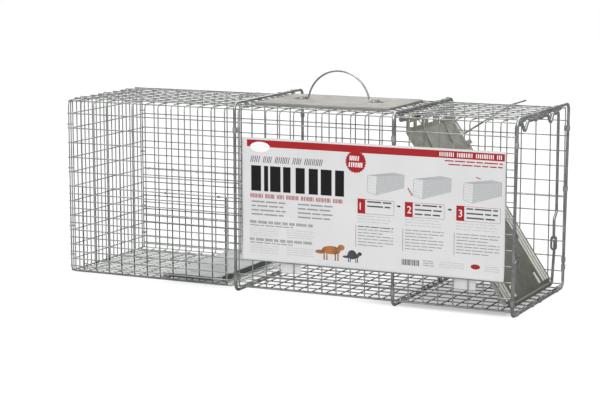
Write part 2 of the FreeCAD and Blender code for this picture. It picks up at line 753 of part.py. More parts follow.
def door_flange():
    """The upright flange at the top of the sheet, with its hinge knuckles."""
    flange_low = FLANGE_BEND_Z - FLANGE_FOOT
    flange_high = HINGE_Z - KNUCKLE_R + SHEET
    x0, x1 = FLANGE_X - SHEET / 2, FLANGE_X + SHEET / 2
    pieces = [box(x0, x1, -DOOR_NECK_HALF, DOOR_NECK_HALF, flange_low, flange_high)]
    for y0, y1 in KNUCKLE_Y:
        pieces.append(cylinder_y(HINGE_X, HINGE_Z, KNUCKLE_R, y0, y1))
        pieces.append(box(HINGE_X, FLANGE_X, y0, y1, flange_high - SHEET, flange_high))
    return pieces


def door_rim(side):
    """The wide part of the sheet on one side, its turned-under rim and the rim's lip."""
    stop = door_axes()[0] - DOOR_RIM_STOP
    low = SHEET_N1 - DOOR_RIM
    wing = sorted((side * (DOOR_NECK_HALF - 2), side * DOOR_HALF))
    wall = sorted((side * (DOOR_HALF - SHEET), side * DOOR_HALF))
    lip = sorted((side * (DOOR_HALF - DOOR_LIP), side * DOOR_HALF))
    return [
        door_slab(DOOR_NECK_LENGTH, stop, SHEET_N0, SHEET_N1, wing[0], wing[1]),
        door_slab(DOOR_RIM_START, stop, low, SHEET_N1, wall[0], wall[1]),
        door_slab(DOOR_RIM_START, stop, low, low + SHEET, lip[0], lip[1]),
    ]


def door_panel():
    """Hinge knuckles, windowed flange, sloping sheet, turned-under rims and foot curl."""
    length = door_axes()[0]
    pieces = door_flange() + door_rim(1) + door_rim(-1)
    half = DOOR_NECK_HALF
    pieces.append(door_slab(SHEET_START, length, SHEET_N0, SHEET_N1, -half, half))
    pieces.append(cylinder_y(DOOR_FOOT_X, DOOR_FOOT_Z, CURL_R, -CURL_HALF, CURL_HALF))
    door = joined(pieces)
    bore_r = LOCK_ROD_R + RUN
    door = door.cut(cylinder_y(DOOR_FOOT_X, DOOR_FOOT_Z, bore_r, -DOOR_HALF, DOOR_HALF))
    door = door.cut(cylinder_y(HINGE_X, HINGE_Z, HINGE_ROD_R + RUN, -DOOR_HALF, DOOR_HALF))
    for y in WINDOW_Y:
        x0, x1 = FLANGE_X - 3, FLANGE_X + 3
        door = door.cut(box(x0, x1, y - WINDOW_HALF, y + WINDOW_HALF, WINDOW_LOW, WINDOW_HIGH))
    return door


def door_catch():
    """A bent tab on the sheet's far edge that the trigger shaft holds when the trap is set."""
    s0, s1 = CATCH_S - CATCH_HALF, CATCH_S + CATCH_HALF
    bend_y = DOOR_HALF - 2 * SHEET
    return joined([
        door_slab(s0, s1, SHEET_N1, SHEET_N1 + SHEET, bend_y - CATCH_LAP, bend_y + SHEET),
        door_slab(s0, s1, SHEET_N1, CATCH_N + SHEET, bend_y, bend_y + SHEET),
        door_slab(s0, s1, CATCH_N, CATCH_N + SHEET, bend_y, CATCH_END),
    ])


def door_ridge(s0, s1, y):
    """A pressed ridge down the outer face of the sheet."""
    top = SHEET_N1 + RIDGE_HEIGHT
    corners = [
        on_door(s0, SHEET_N1, y - RIDGE_BASE),
        on_door(s0, top, y - RIDGE_CREST),
        on_door(s0, top, y + RIDGE_CREST),
        on_door(s0, SHEET_N1, y + RIDGE_BASE),
    ]
    face = Part.Face(Part.makePolygon(corners + [corners[0]]))
    return face.extrude(door_axes()[1] * (s1 - s0))


def door_stiffeners():
    """Three long ridges beside each edge of the sheet, and a short one at the foot."""
    stop = door_axes()[0] - RIDGE_STOP
    ridges = []
    for side in (-1, 1):
        ridges += [door_ridge(RIDGE_START, stop, side * y) for y in RIDGE_Y]
        ridges.append(door_ridge(stop - RIDGE_SHORT_LENGTH, stop, side * RIDGE_SHORT_Y))
    return ridges


# ---------------------------------------------------------------- lock frame
def lock_arms():
    """Upper half of the toggle: the top bar with two dips, two arms and their eyes."""
    points = [vec(LOCK_X, ARM_EYE_Y, KNEE_EYE_TOP + 2)]
    points.append(vec(LOCK_X, ARM_EYE_Y, JOG_LOW))
    points.append(vec(LOCK_X, ARM_Y, JOG_HIGH))
    points.append(vec(LOCK_X, ARM_Y, LOCK_BAR_Z))
    points.append(vec(LOCK_X, DIP_Y + DIP_HALF, LOCK_BAR_Z))
    points.append(vec(LOCK_X, DIP_Y, LOCK_BAR_Z - DIP_DEPTH))
    points.append(vec(LOCK_X, DIP_Y - DIP_HALF, LOCK_BAR_Z))
    points.append(vec(LOCK_X, 0, LOCK_BAR_Z))
    half = bent_rod(points, LOCK_ROD_R, ARM_BEND)
    eye = knee_eye(ARM_EYE_Y)
    return joined([half, eye, mirrored_y(half), mirrored_y(eye)])


def long_hole(radius, y0, y1, z0, z1):
    """A round-ended upright bar through the knee's plane."""
    return joined([
        cylinder_y(LOCK_X, z1, radius, y0, y1),
        cylinder_y(LOCK_X, z0, radius, y0, y1),
        box(LOCK_X - radius, LOCK_X + radius, y0, y1, z0, z1),
    ])


def knee_eye(y):
    """A long flattened eye at the knee."""
    y0 = y - KNEE_EYE_T / 2
    y1 = y + KNEE_EYE_T / 2
    outer = long_hole(KNEE_EYE_R, y0, y1, KNEE_EYE_FOOT, KNEE_EYE_TOP)
    return outer.cut(long_hole(KNEE_SLOT_R, y0, y1, KNEE_EYE_FOOT, KNEE_SLOT_TOP))


def lock_link():
    """Lower half of the toggle: a rod through the door's foot curl with two links."""
    points = [vec(LOCK_X, PIN_END, KNEE_Z)]
    points.append(vec(LOCK_X, LINK_Y, KNEE_Z))
    points.append(vec(DOOR_FOOT_X, LINK_Y, DOOR_FOOT_Z))
    points.append(vec(DOOR_FOOT_X, 0, DOOR_FOOT_Z))
    half = bent_rod(points, LOCK_ROD_R, LINK_BEND)
    return joined([half, mirrored_y(half)])


def lock_bar_hangers():
    """Straps that hang the lock frame's top bar from the last roof wire."""
    low = (LOCK_X, LOCK_BAR_Z)
    high = (column_x(CELLS_LONG), ROOF_IN)
    hole = LOCK_ROD_R + RUN
    wire = WIRE_R + EYE_PLAY
    return [eye_strap(low, hole, high, wire, EYE_RIM, NECK_HALF, y, EYE_DEPTH) for y in HANGER_Y]


# ---------------------------------------------------------------- trigger
def trigger_shaft():
    """Long rod under the roof with a rear crank and a dipped catch at the door."""
    points = [vec(CRANK_X, SHAFT_Y - CRANK_LENGTH, SHAFT_Z)]
    points.append(vec(CRANK_X, SHAFT_Y, SHAFT_Z))
    points.append(vec(SHAFT_RUN_END, SHAFT_Y, SHAFT_Z))
    for x, z in (DIP_TOP, DIP_FOOT, RISE_START, RISE_THROUGH, SHAFT_TIP):
        points.append(vec(x, SHAFT_Y, z))
    return bent_rod(points, SHAFT_R, SHAFT_BEND)


def shaft_guides():
    """Folded clips that hang the trigger shaft from the roof's corner wire."""
    fold_y, fold_z = fold_wire_place(ROOF_IN, 1)
    low = (SHAFT_Y, SHAFT_Z)
    high = (fold_y, fold_z)
    wire = WIRE_R + EYE_PLAY
    clip = eye_strap(low, SHAFT_R + RUN, high, wire, GUIDE_RIM, GUIDE_NECK, 0, EYE_DEPTH)
    clip.rotate(vec(0, 0, 0), Z_AXIS, 90)
    return [moved(clip, column_x(k), 0, 0) for k in GUIDE_COLUMNS]


def trigger_link():
    """The upright wire from the treadle's lug to the shaft's crank."""
    points = [vec(CRANK_X, TRIP_LINK_Y - LINK_FOOT_LENGTH, LINK_FOOT_Z)]
    points.append(vec(CRANK_X, TRIP_LINK_Y, LINK_FOOT_Z))
    points.append(vec(CRANK_X, TRIP_LINK_Y, SHAFT_Z - LINK_EYE_LAP))
    wire = bent_rod(points, TRIP_LINK_R, TRIP_LINK_BEND)
    y0, y1 = TRIP_LINK_Y - LINK_EYE_HALF, TRIP_LINK_Y + LINK_EYE_HALF
    link = joined([wire, cylinder_y(CRANK_X, SHAFT_Z, LINK_EYE_R, y0, y1)])
    return link.cut(cylinder_y(CRANK_X, SHAFT_Z, LINK_EYE_HOLE_R, y0 - 1, y1 + 1))


def corner_wedge(side):
    """The block that trims one front corner of the treadle at 45 degrees."""
    x1, half, corner = TREADLE_FRONT_X, TREADLE_HALF, TREADLE_CORNER
    z = TREADLE_TOP - 2 * SHEET
    first = vec(x1 - corner, side * half, z)
    cut = Part.makePolygon([first, vec(x1, side * (half - corner), z), vec(x1, side * half, z), first])
    return Part.Face(cut).extrude(vec(0, 0, 4 * SHEET))


def treadle_plate():
    """The foot plate: a sheet with a rear curl, turned-down edges and a lug."""
    x0, x1, half, top = TREADLE_PIVOT_X, TREADLE_FRONT_X, TREADLE_HALF, TREADLE_TOP
    straight = half - TREADLE_CORNER
    sheet = box(x0, x1, -half, half, top - SHEET, top)
    sheet = sheet.cut(corner_wedge(1)).cut(corner_wedge(-1))
    pieces = [sheet, cylinder_y(x0, TREADLE_PIVOT_Z, TREADLE_CURL_R, 1 - half, half - 1)]
    lip = FLOOR_IN + WIRE_R + TREADLE_LIP_GAP
    pieces.append(box(x1 - SHEET, x1, -straight, straight, lip, top))
    edge_x0, edge_x1 = x0 + TREADLE_EDGE_INSET, x1 - TREADLE_CORNER
    for y in (-half, half - SHEET):
        pieces.append(box(edge_x0, edge_x1, y, y + SHEET, top - TREADLE_EDGE, top))
    lug_x0, lug_x1 = CRANK_X - LUG_HALF, CRANK_X + LUG_HALF
    pieces.append(box(lug_x0, lug_x1, LUG_Y[0], LUG_Y[1], top - SHEET / 2, top + LUG_RISE))
    plate = joined(pieces)
    bore_r = TREADLE_ROD_R + RUN
    plate = plate.cut(cylinder_y(x0, TREADLE_PIVOT_Z, bore_r, -half - 1, half + 1))
    plate = plate.cut(cylinder_y(CRANK_X, LINK_FOOT_Z, LUG_HOLE_R, LUG_Y[0] - 1, LUG_Y[1] + 1))
    for y in (-TREADLE_SLOT_Y, TREADLE_SLOT_Y):
        y0, y1 = y - TREADLE_SLOT_HALF, y + TREADLE_SLOT_HALF
        plate = plate.cut(box(TREADLE_SLOT_X[0], TREADLE_SLOT_X[1], y0, y1, top - 2, top + 1))
    return plate


def treadle_pivot_rod():
    half = TREADLE_ROD_HALF
    return cylinder_y(TREADLE_PIVOT_X, TREADLE_PIVOT_Z, TREADLE_ROD_R, -half, half)


def treadle_brackets():
    """Angle brackets on the floor mesh that hold the treadle's pivot rod."""
    brackets = []
    floor = FLOOR_IN + WIRE_R + RUN
    top = floor + BRACKET_SHEET
    x = TREADLE_PIVOT_X
    x0, x1 = x - BRACKET_R, x + BRACKET_R
    for side in (-1, 1):
        wall = sorted((side * BRACKET_IN, side * BRACKET_OUT))
        tongue = sorted((side * BRACKET_FOOT_IN, side * BRACKET_OUT))
        foot = sorted((side * BRACKET_FOOT_IN, side * BRACKET_FOOT_OUT))
        bracket = joined([
            cylinder_y(x, TREADLE_PIVOT_Z, BRACKET_R, wall[0], wall[1]),
            box(x0, x1, wall[0], wall[1], floor, TREADLE_PIVOT_Z),
            box(x0, x1, tongue[0], tongue[1], floor, top),
            box(x - BRACKET_FOOT_REACH, x1, foot[0], foot[1], floor, top),
        ])
        hole_r = TREADLE_ROD_R + EYE_PLAY
        hole = cylinder_y(x, TREADLE_PIVOT_Z, hole_r, wall[0] - 1, wall[1] + 1)
        brackets.append(bracket.cut(hole))
    return brackets


# ---------------------------------------------------------------- card
def label_card():
    """A printed card outside the hoops, with two tabs that pass through the mesh."""
    pieces = [box(CARD_X0, CARD_X1, CARD_Y - CARD_T, CARD_Y, CARD_Z0, CARD_Z1)]
    y0 = TAB_GAP + WIRE_R - INNER_Y
    y1 = y0 + TAB_T
    high = TAB_TOP + TAB_T
    for column in TAB_COLUMNS:
        x = column_x(column)
        pieces.append(box(x + TAB_NECK[0], x + TAB_NECK[1], CARD_Y - CARD_T / 2, y1, TAB_TOP, high))
        pieces.append(box(x + TAB_WIDE[0], x + TAB_WIDE[1], y0, y1, TAB_FOOT, high))
    return joined(pieces)


# ---------------------------------------------------------------- output
os.makedirs("parts", exist_ok=True)

NODES = {
    "upper_mesh": upper_mesh(),
    "lower_mesh": lower_mesh(),
    "bait_guard_mesh": bait_guard_mesh(),
    "rear_end_mesh": rear_end_mesh(),
    "seam_rings": seam_rings(),
    "end_panel_rings": end_panel_rings(),
    "middle_hoop": [hoop(MIDDLE_HOOP_X, MIDDLE_HOOP_X, MIDDLE_HOOP_TOP_Z)],
    "hinge_hoop": [hoop(HINGE_HOOP_X, HINGE_HOOP_X, HOOP_TOP_Z)],
    "entrance_hoop": [hoop(ENTRANCE_FOOT_X, ENTRANCE_TOP_X, HOOP_TOP_Z)],
    "hoop_clips": hoop_clips(),
    "guard_rings": guard_rings(),
    "guard_plate": [guard_plate()],
    "handle_saddles": handle_saddles(),
    "handle_rivets": handle_rivets(),
    "backing_straps": backing_straps(),
    "carry_handle": [carry_handle()],
    "door_hinge_rod": [door_hinge_rod()],
    "hinge_straps": hinge_straps(),
    "hinge_rod_caps": hinge_rod_caps(),
    "door_springs": door_springs(),
    "door_panel": [door_panel()],
    "door_catch": [door_catch()],
    "door_stiffeners": door_stiffeners(),
    "lock_arms": [lock_arms()],
    "lock_link": [lock_link()],
    "lock_bar_hangers": lock_bar_hangers(),
    "trigger_shaft": [trigger_shaft()],
    "shaft_guides": shaft_guides(),
    "trigger_link": [trigger_link()],
    "treadle_plate": [treadle_plate()],
    "treadle_pivot_rod": [treadle_pivot_rod()],
    "treadle_brackets": treadle_brackets(),
    "label_card": [label_card()],
}

for name, shapes in NODES.items():
    export(name, shapes)
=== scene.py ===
import json
import math
import random

import bpy
from mathutils import Matrix, Vector


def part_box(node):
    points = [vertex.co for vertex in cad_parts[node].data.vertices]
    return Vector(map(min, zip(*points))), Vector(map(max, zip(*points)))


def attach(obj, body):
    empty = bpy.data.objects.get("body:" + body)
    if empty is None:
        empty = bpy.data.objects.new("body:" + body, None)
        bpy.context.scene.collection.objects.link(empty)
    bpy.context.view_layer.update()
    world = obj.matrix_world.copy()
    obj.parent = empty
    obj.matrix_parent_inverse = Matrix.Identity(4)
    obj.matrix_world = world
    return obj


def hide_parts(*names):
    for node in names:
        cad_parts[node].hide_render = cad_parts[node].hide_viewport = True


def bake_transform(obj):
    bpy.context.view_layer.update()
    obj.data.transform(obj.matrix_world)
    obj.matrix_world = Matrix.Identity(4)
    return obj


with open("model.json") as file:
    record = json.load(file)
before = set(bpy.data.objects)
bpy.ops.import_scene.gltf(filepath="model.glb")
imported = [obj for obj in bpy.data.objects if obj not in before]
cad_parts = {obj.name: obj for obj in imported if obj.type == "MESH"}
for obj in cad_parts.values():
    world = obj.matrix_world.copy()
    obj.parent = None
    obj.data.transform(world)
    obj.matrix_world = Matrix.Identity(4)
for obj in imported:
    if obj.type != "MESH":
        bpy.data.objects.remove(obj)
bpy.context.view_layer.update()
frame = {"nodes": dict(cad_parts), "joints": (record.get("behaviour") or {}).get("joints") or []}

# Looks of the live catch trap. Metres, same frame as the CAD: +X to the entrance,
# -Y to the card, +Z up, ground at 0.

MM = 0.001

# ------------------------------------------------------------ sizes shared with the frame
MESH_LOW, MESH_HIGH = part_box("lower_mesh")[0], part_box("upper_mesh")[1]
WIRE_R = 1.0 * MM
HOOP_R = 2.5 * MM
CELLS_LONG, CELLS_HIGH, CELLS_WIDE, SEAM_CELL = 32, 12, 10, 6
LENGTH = MESH_HIGH[0] - MESH_LOW[0]
WIDTH = MESH_HIGH[1] - MESH_LOW[1]
HEIGHT = MESH_HIGH[2] - MESH_LOW[2]
PITCH_X = (LENGTH - 2 * WIRE_R) / CELLS_LONG
PITCH_Y = WIDTH / CELLS_WIDE
PITCH_Z = HEIGHT / CELLS_HIGH
WELD_Y = WIDTH / 2 - 2 * WIRE_R
GUARD_CELLS = 12
REAR_SQUARES_END = MESH_LOW[0] + (GUARD_CELLS + 0.2) * PITCH_X
MIDDLE_SPLIT = MESH_LOW[0] + (GUARD_CELLS + 1) * PITCH_X
TREADLE_LOW, TREADLE_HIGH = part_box("treadle_plate")
TREADLE_LIP = 1.4 * MM

JOINTS = {joint["name"]: joint for joint in frame["joints"]}
HINGE = Vector(JOINTS["door_swing"]["pos_m"])


# ------------------------------------------------------------ colours and node helpers
def colour(red, green, blue):
    """Linear colour with alpha from display values of 0 to 255, by the sRGB curve."""
    def linear(value):
        value /= 255
        return value / 12.92 if value <= 0.04045 else ((value + 0.055) / 1.055) ** 2.4
    return (linear(red), linear(green), linear(blue), 1.0)


def scaled(rgba, factor):
    return (rgba[0] * factor, rgba[1] * factor, rgba[2] * factor, 1.0)


WHITE = (1.0, 1.0, 1.0, 1.0)


def ramp_node(tree, source, stops):
    """A colour ramp over the source. A stop is a place from 0 up, with a grey or a colour."""
    node = tree.nodes.new("ShaderNodeValToRGB")
    elements = node.color_ramp.elements
    while len(elements) < len(stops):
        elements.new(0.5)
    for element, (place, value) in zip(elements, stops):
        element.position = place
        element.color = value if isinstance(value, tuple) else (value, value, value, 1.0)
    tree.links.new(source, node.inputs["Fac"])
    return node.outputs["Color"]


class Shader:
    """A material under construction: its methods add nodes and links to its tree."""

    def __init__(self, name):
        self.material = bpy.data.materials.new(name)
        self.material.use_nodes = True
        self.tree = self.material.node_tree
        self.surface = self.tree.nodes["Principled BSDF"]
        self.place = self.tree.nodes.new("ShaderNodeTexCoord").outputs["Object"]

    def link(self, source, target):
        self.tree.links.new(source, target)

    def noise(self, scale, detail=4.0, roughness=0.55, place=None):
        node = self.tree.nodes.new("ShaderNodeTexNoise")
        node.inputs["Scale"].default_value = scale
        node.inputs["Detail"].default_value = detail
        node.inputs["Roughness"].default_value = roughness
        self.link(place or self.place, node.inputs["Vector"])
        return node.outputs["Fac"]

    def cells(self, scale):
        """Random grey per crystal; scales are in cells per metre."""
        node = self.tree.nodes.new("ShaderNodeTexVoronoi")
        node.inputs["Scale"].default_value = scale
        self.link(self.warped(scale * 0.6, 0.35 / scale), node.inputs["Vector"])
        return node.outputs["Color"]

    def warped(self, scale, amount):
        """Coordinates pushed about by noise, so that cells get ragged edges."""
        noise = self.tree.nodes.new("ShaderNodeTexNoise")
        noise.inputs["Scale"].default_value = scale
        self.link(self.place, noise.inputs["Vector"])
        mix = self.tree.nodes.new("ShaderNodeVectorMath")
        mix.operation = "MULTIPLY_ADD"
        self.link(noise.outputs["Color"], mix.inputs[0])
        mix.inputs[1].default_value = (amount, amount, amount)
        self.link(self.place, mix.inputs[2])
        return mix.outputs["Vector"]

    def stretched(self, factors):
        node = self.tree.nodes.new("ShaderNodeMapping")
        node.inputs["Scale"].default_value = factors
        self.link(self.place, node.inputs["Vector"])
        return node.outputs["Vector"]

    def along(self, axis):
        split = self.tree.nodes.new("ShaderNodeSeparateXYZ")
        self.link(self.place, split.inputs[0])
        return split.outputs[axis]

    def math(self, operation, first, second=None):
        node = self.tree.nodes.new("ShaderNodeMath")
        node.operation = operation
        self.link(first, node.inputs[0])
        if isinstance(second, float):
            node.inputs[1].default_value = second
        elif second is not None:
            self.link(second, node.inputs[1])
        return node.outputs[0]

    def off_centre(self):
        """Distance from the object's middle plane, along Y."""
        return self.math("ABSOLUTE", self.along("Y"))

    def ramp(self, source, stops):
        return ramp_node(self.tree, source, stops)

    def mix(self, factor, first, second, blend="MIX"):
        node = self.tree.nodes.new("ShaderNodeMix")
        node.data_type = "RGBA"
        node.blend_type = blend
        sockets = (node.inputs["Factor"], node.inputs[6], node.inputs[7])
        for socket, value in zip(sockets, (factor, first, second)):
            if isinstance(value, (int, float, tuple)):
                socket.default_value = value
            else:
                self.link(value, socket)
        return node.outputs[2]

    def shaded(self, body, factor, share):
        """The body colour, darkened or lifted to a share of itself where the factor is 1: painted shade and
        painted light.
        """
        return self.mix(factor, body, self.mix(1.0, body, scaled(WHITE, share), "MULTIPLY"))

    def bump(self, height, strength, distance):
        node = self.tree.nodes.new("ShaderNodeBump")
        node.inputs["Strength"].default_value = strength
        node.inputs["Distance"].default_value = distance
        self.link(height, node.inputs["Height"])
        self.link(node.outputs["Normal"], self.surface.inputs["Normal"])

    def finish(self, base, roughness, metallic=0.0):
        for name, value in (("Base Color", base), ("Roughness", roughness)):
            if isinstance(value, (int, float, tuple)):
                self.surface.inputs[name].default_value = value
            else:
                self.link(value, self.surface.inputs[name])
        self.surface.inputs["Metallic"].default_value = metallic
        return self.material


# ------------------------------------------------------------ masks for painted light and shade
UPRIGHT_INNER = WIDTH / 2 - 3.8 * WIRE_R
UPRIGHT_OUTER = WIDTH / 2 - 1.8 * WIRE_R
FLOOR_WIRES_TOP = MESH_LOW[2] + 5 * WIRE_R


def painted_shade_rear_uprights(shader):
    """1 on the side uprights of the rear squares, where painted shade darkens the wire; 0 elsewhere."""
    rear = shader.math("LESS_THAN", shader.along("X"), REAR_SQUARES_END)
    beyond = shader.math("GREATER_THAN", shader.off_centre(), UPRIGHT_INNER)
    within = shader.math("LESS_THAN", shader.off_centre(), UPRIGHT_OUTER)
    return shader.math("MULTIPLY", rear, shader.math("MULTIPLY", beyond, within))


def floor_wires(shader, side):
    """1 on the floor wires behind or in front of the middle hoop, for painted light behind it and painted
    shade in front.
    """
    low = shader.math("LESS_THAN", shader.along("Z"), FLOOR_WIRES_TOP)
    part = shader.math(side, shader.along("X"), MIDDLE_SPLIT)
    return shader.math("MULTIPLY", low, part)


# Painted light: the floor wires behind the middle hoop are lifted brighter.
def painted_light_rear_floor_wires(shader):
    return floor_wires(shader, "LESS_THAN")


# Painted shade: the floor wires in front of the middle hoop, under the door, are darkened.
def painted_shade_front_floor_wires(shader):
    return floor_wires(shader, "GREATER_THAN")


def painted_shade_treadle_lips(shader):
    """1 on the treadle's turned-down near, far and front lips, which get painted shade."""
    beside = shader.math("GREATER_THAN", shader.off_centre(), TREADLE_HIGH[1] - TREADLE_LIP)
    ahead = shader.math("GREATER_THAN", shader.along("X"), TREADLE_HIGH[0] - TREADLE_LIP)
    return shader.math("MAXIMUM", beside, ahead)


# ------------------------------------------------------------ materials
def zinc_wire(name, tint, metallic=0.75, rough=(0.28, 0.5), painted_light_and_shade=()):
    """Hot dipped wire: uneven zinc, dull patches and pale bloom, small runs in the coat; masked stretches
    get painted light where the share is over 1 and painted shade where it is under.
    """
    shader = Shader(name)
    patches = shader.noise(scale=38.0, detail=5.0)
    body = shader.ramp(patches, ((0.30, scaled(tint, 0.62)), (0.52, tint), (0.75, scaled(tint, 1.35))))
    bloom = shader.ramp(shader.noise(scale=210.0, detail=3.0), ((0.56, 0.0), (0.72, 1.0)))
    body = shader.mix(0.25, body, shader.mix(bloom, body, scaled(tint, 1.7)))
    for mask, share in painted_light_and_shade:
        body = shader.shaded(body, mask(shader), share)
    rough_map = shader.ramp(shader.noise(scale=85.0), ((0.3, rough[0]), (0.7, rough[1])))
    shader.bump(shader.noise(scale=420.0, detail=2.0), strength=0.25, distance=0.25 * MM)
    return shader.finish(body, rough_map, metallic)


SHEET_METALLIC = 0.7
SHEET_ROUGH = (0.3, 0.48)
DRAWN_ALONG = (0.06, 6.0, 1.0)
DRAWN_ACROSS = (6.0, 0.06, 1.0)


def spangled(shader, tint, spangle, contrast, drawn):
    """Body colour of galvanised sheet: crystal spangle, faint staining, drawn scratches."""
    crystals = shader.ramp(shader.cells(spangle), ((0.0, 1.0 - contrast), (1.0, 1.0 + contrast)))
    stains = ((0.35, scaled(tint, 0.82)), (0.65, scaled(tint, 1.12)))
    stain = shader.ramp(shader.noise(scale=9.0, detail=6.0), stains)
    body = shader.mix(1.0, stain, crystals, "MULTIPLY")
    scratch = shader.noise(scale=60.0, detail=3.0, roughness=0.7, place=shader.stretched(drawn))
    return shader.mix(0.35, body, shader.ramp(scratch, ((0.62, 0.5), (0.7, 0.9))), "SOFT_LIGHT")


def sheet_surface(shader, body, spangle, metallic, rough):
    rough_map = shader.ramp(shader.cells(spangle), ((0.0, rough[0]), (1.0, rough[1])))
    shader.bump(shader.noise(scale=140.0, detail=3.0), strength=0.12, distance=0.3 * MM)
    return shader.finish(body, rough_map, metallic)


def zinc_sheet(name, tint, spangle, contrast, metallic=SHEET_METALLIC, rough=SHEET_ROUGH, painted_light_and_shade=()):
    """Galvanised sheet, with painted shade darkening any masked stretches."""
    shader = Shader(name)
    body = spangled(shader, tint, spangle, contrast, DRAWN_ALONG)
    for mask, share in painted_light_and_shade:
        body = shader.shaded(body, mask(shader), share)
    return sheet_surface(shader, body, spangle, metallic, rough)


DOOR_SPANGLE = 85.0
# Painted shade towards the door's foot and painted light towards its top, as shares of the body colour by
# height.
DOOR_PAINTED_LIGHT_BY_HEIGHT = ((0.04, 0.64), (0.16, 1.0), (0.29, 1.6))
DOOR_RIM_START, DOOR_RIM_FULL = 0.1095, 0.1108


def door_finish():
    """The door's dull sheet, with painted shade towards its foot, painted light towards its top, and a
    painted highlight along its folded rims.
    """
    rim_highlight_colour = colour(226, 227, 220)
    shader = Shader("zinc_door_sheet")
    tint = colour(158, 159, 148)
    body = spangled(shader, tint, DOOR_SPANGLE, contrast=0.14, drawn=DRAWN_ACROSS)
    height = shader.ramp(shader.along("Z"), DOOR_PAINTED_LIGHT_BY_HEIGHT)
    body = shader.mix(1.0, body, height, "MULTIPLY")
    # Painted highlight: the folded rims are coloured near white.
    rim_highlight_mask = shader.ramp(shader.off_centre(), ((DOOR_RIM_START, 0.0), (DOOR_RIM_FULL, 1.0)))
    body = shader.mix(rim_highlight_mask, body, rim_highlight_colour)
    return sheet_surface(shader, body, DOOR_SPANGLE, SHEET_METALLIC, SHEET_ROUGH)


def rivet_finish():
    shader = Shader("rivet_metal")
    tint = colour(186, 188, 190)
    body = shader.ramp(shader.noise(scale=160.0), ((0.3, scaled(tint, 0.75)), (0.7, scaled(tint, 1.1))))
    shader.bump(shader.noise(scale=600.0), strength=0.2, distance=0.2 * MM)
    return shader.finish(body, roughness=0.34, metallic=0.85)


def card_stock():
    """Coated board: faint mottle, slight gloss variation, tiny fibre relief."""
    shader = Shader("card_board")
    tint = colour(220, 220, 221)
    mottle = ((0.3, scaled(tint, 0.96)), (0.7, scaled(tint, 1.02)))
    body = shader.ramp(shader.noise(scale=14.0, detail=3.0), mottle)
    rough_map = shader.ramp(shader.noise(scale=30.0), ((0.3, 0.28), (0.7, 0.42)))
    shader.bump(shader.noise(scale=900.0, detail=2.0), strength=0.05, distance=0.05 * MM)
    return shader.finish(body, rough_map)


def card_ink(name, tint, rough=0.32):
    """Printed ink: a halftone-fine mottle over the flat colour."""
    shader = Shader(name)
    grain = shader.noise(scale=700.0, detail=2.0)
    body = shader.ramp(grain, ((0.3, scaled(tint, 0.9)), (0.7, scaled(tint, 1.1))))
    rough_map = shader.ramp(shader.noise(scale=40.0), ((0.3, rough), (0.7, rough + 0.1)))
    return shader.finish(body, rough_map)


def picture_ink(name, low, high):
    """A soft two-tone wash for the card's animal silhouettes."""
    shader = Shader(name)
    body = shader.ramp(shader.noise(scale=55.0, detail=5.0), ((0.35, low), (0.62, high)))
    return shader.finish(body, roughness=0.34)


FLOOR_GLOW = 0.88
FLOOR_IN_REFLECTION = (0.22, 0.22, 0.22, 1.0)
TREADLE_START = TREADLE_LOW[0] - MESH_LOW[0]
TREADLE_END = TREADLE_HIGH[0] - MESH_LOW[0]

# Soft shadows on the floor. "along" runs from the rear end and "across" from the middle, each as
# pairs of distance and strength; "share" is what is left of the floor's glow.
DOOR_SHADOW = {
    "along": ((0.526, 0.0), (0.626, 1.0), (0.791, 1.0), (0.816, 0.0)),
    "across": ((0.105, 1.0), (0.128, 0.0)),
    "share": 0.5,
}
TREADLE_SHADOW = {
    "along": (
        (TREADLE_START - 0.01, 0.0), (TREADLE_START + 0.01, 1.0),
        (TREADLE_END - 0.01, 1.0), (TREADLE_END + 0.02, 0.0),
    ),
    "across": ((WIDTH / 2 - 0.05, 1.0), (WIDTH / 2 - 0.025, 0.0)),
    "share": 0.45,
}


def floor_glow(shader):
    """The floor's own light, dimmed by the soft shadows."""
    glow = WHITE
    for shadow in (DOOR_SHADOW, TREADLE_SHADOW):
        from_rear = shader.math("SUBTRACT", shader.along("X"), MESH_LOW[0])
        along = shader.ramp(from_rear, shadow["along"])
        across = shader.ramp(shader.off_centre(), shadow["across"])
        glow = shader.shaded(glow, shader.math("MULTIPLY", along, across), shadow["share"])
    return glow


def floor_finish():
    """White sweep for the eye; in mirror reflections it is a darker studio floor."""
    shader = Shader("studio_floor")
    body = shader.ramp(shader.noise(scale=2.0), ((0.3, 0.17), (0.7, 0.19)))
    shader.surface.inputs["Specular IOR Level"].default_value = 0.0
    shader.link(floor_glow(shader), shader.surface.inputs["Emission Color"])
    shader.surface.inputs["Emission Strength"].default_value = FLOOR_GLOW
    material = shader.finish(body, roughness=0.9)
    tree = shader.tree
    rays = tree.nodes.new("ShaderNodeLightPath")
    dim = tree.nodes.new("ShaderNodeBsdfDiffuse")
    dim.inputs["Color"].default_value = FLOOR_IN_REFLECTION
    mix = tree.nodes.new("ShaderNodeMixShader")
    output = tree.nodes["Material Output"]
    tree.links.new(rays.outputs["Is Glossy Ray"], mix.inputs["Fac"])
    tree.links.new(shader.surface.outputs["BSDF"], mix.inputs[1])
    tree.links.new(dim.outputs["BSDF"], mix.inputs[2])
    tree.links.new(mix.outputs["Shader"], output.inputs["Surface"])
    return material


MESH_TINT = colour(188, 191, 188)
MESH_WIRE = zinc_wire("zinc_mesh_wire", MESH_TINT)
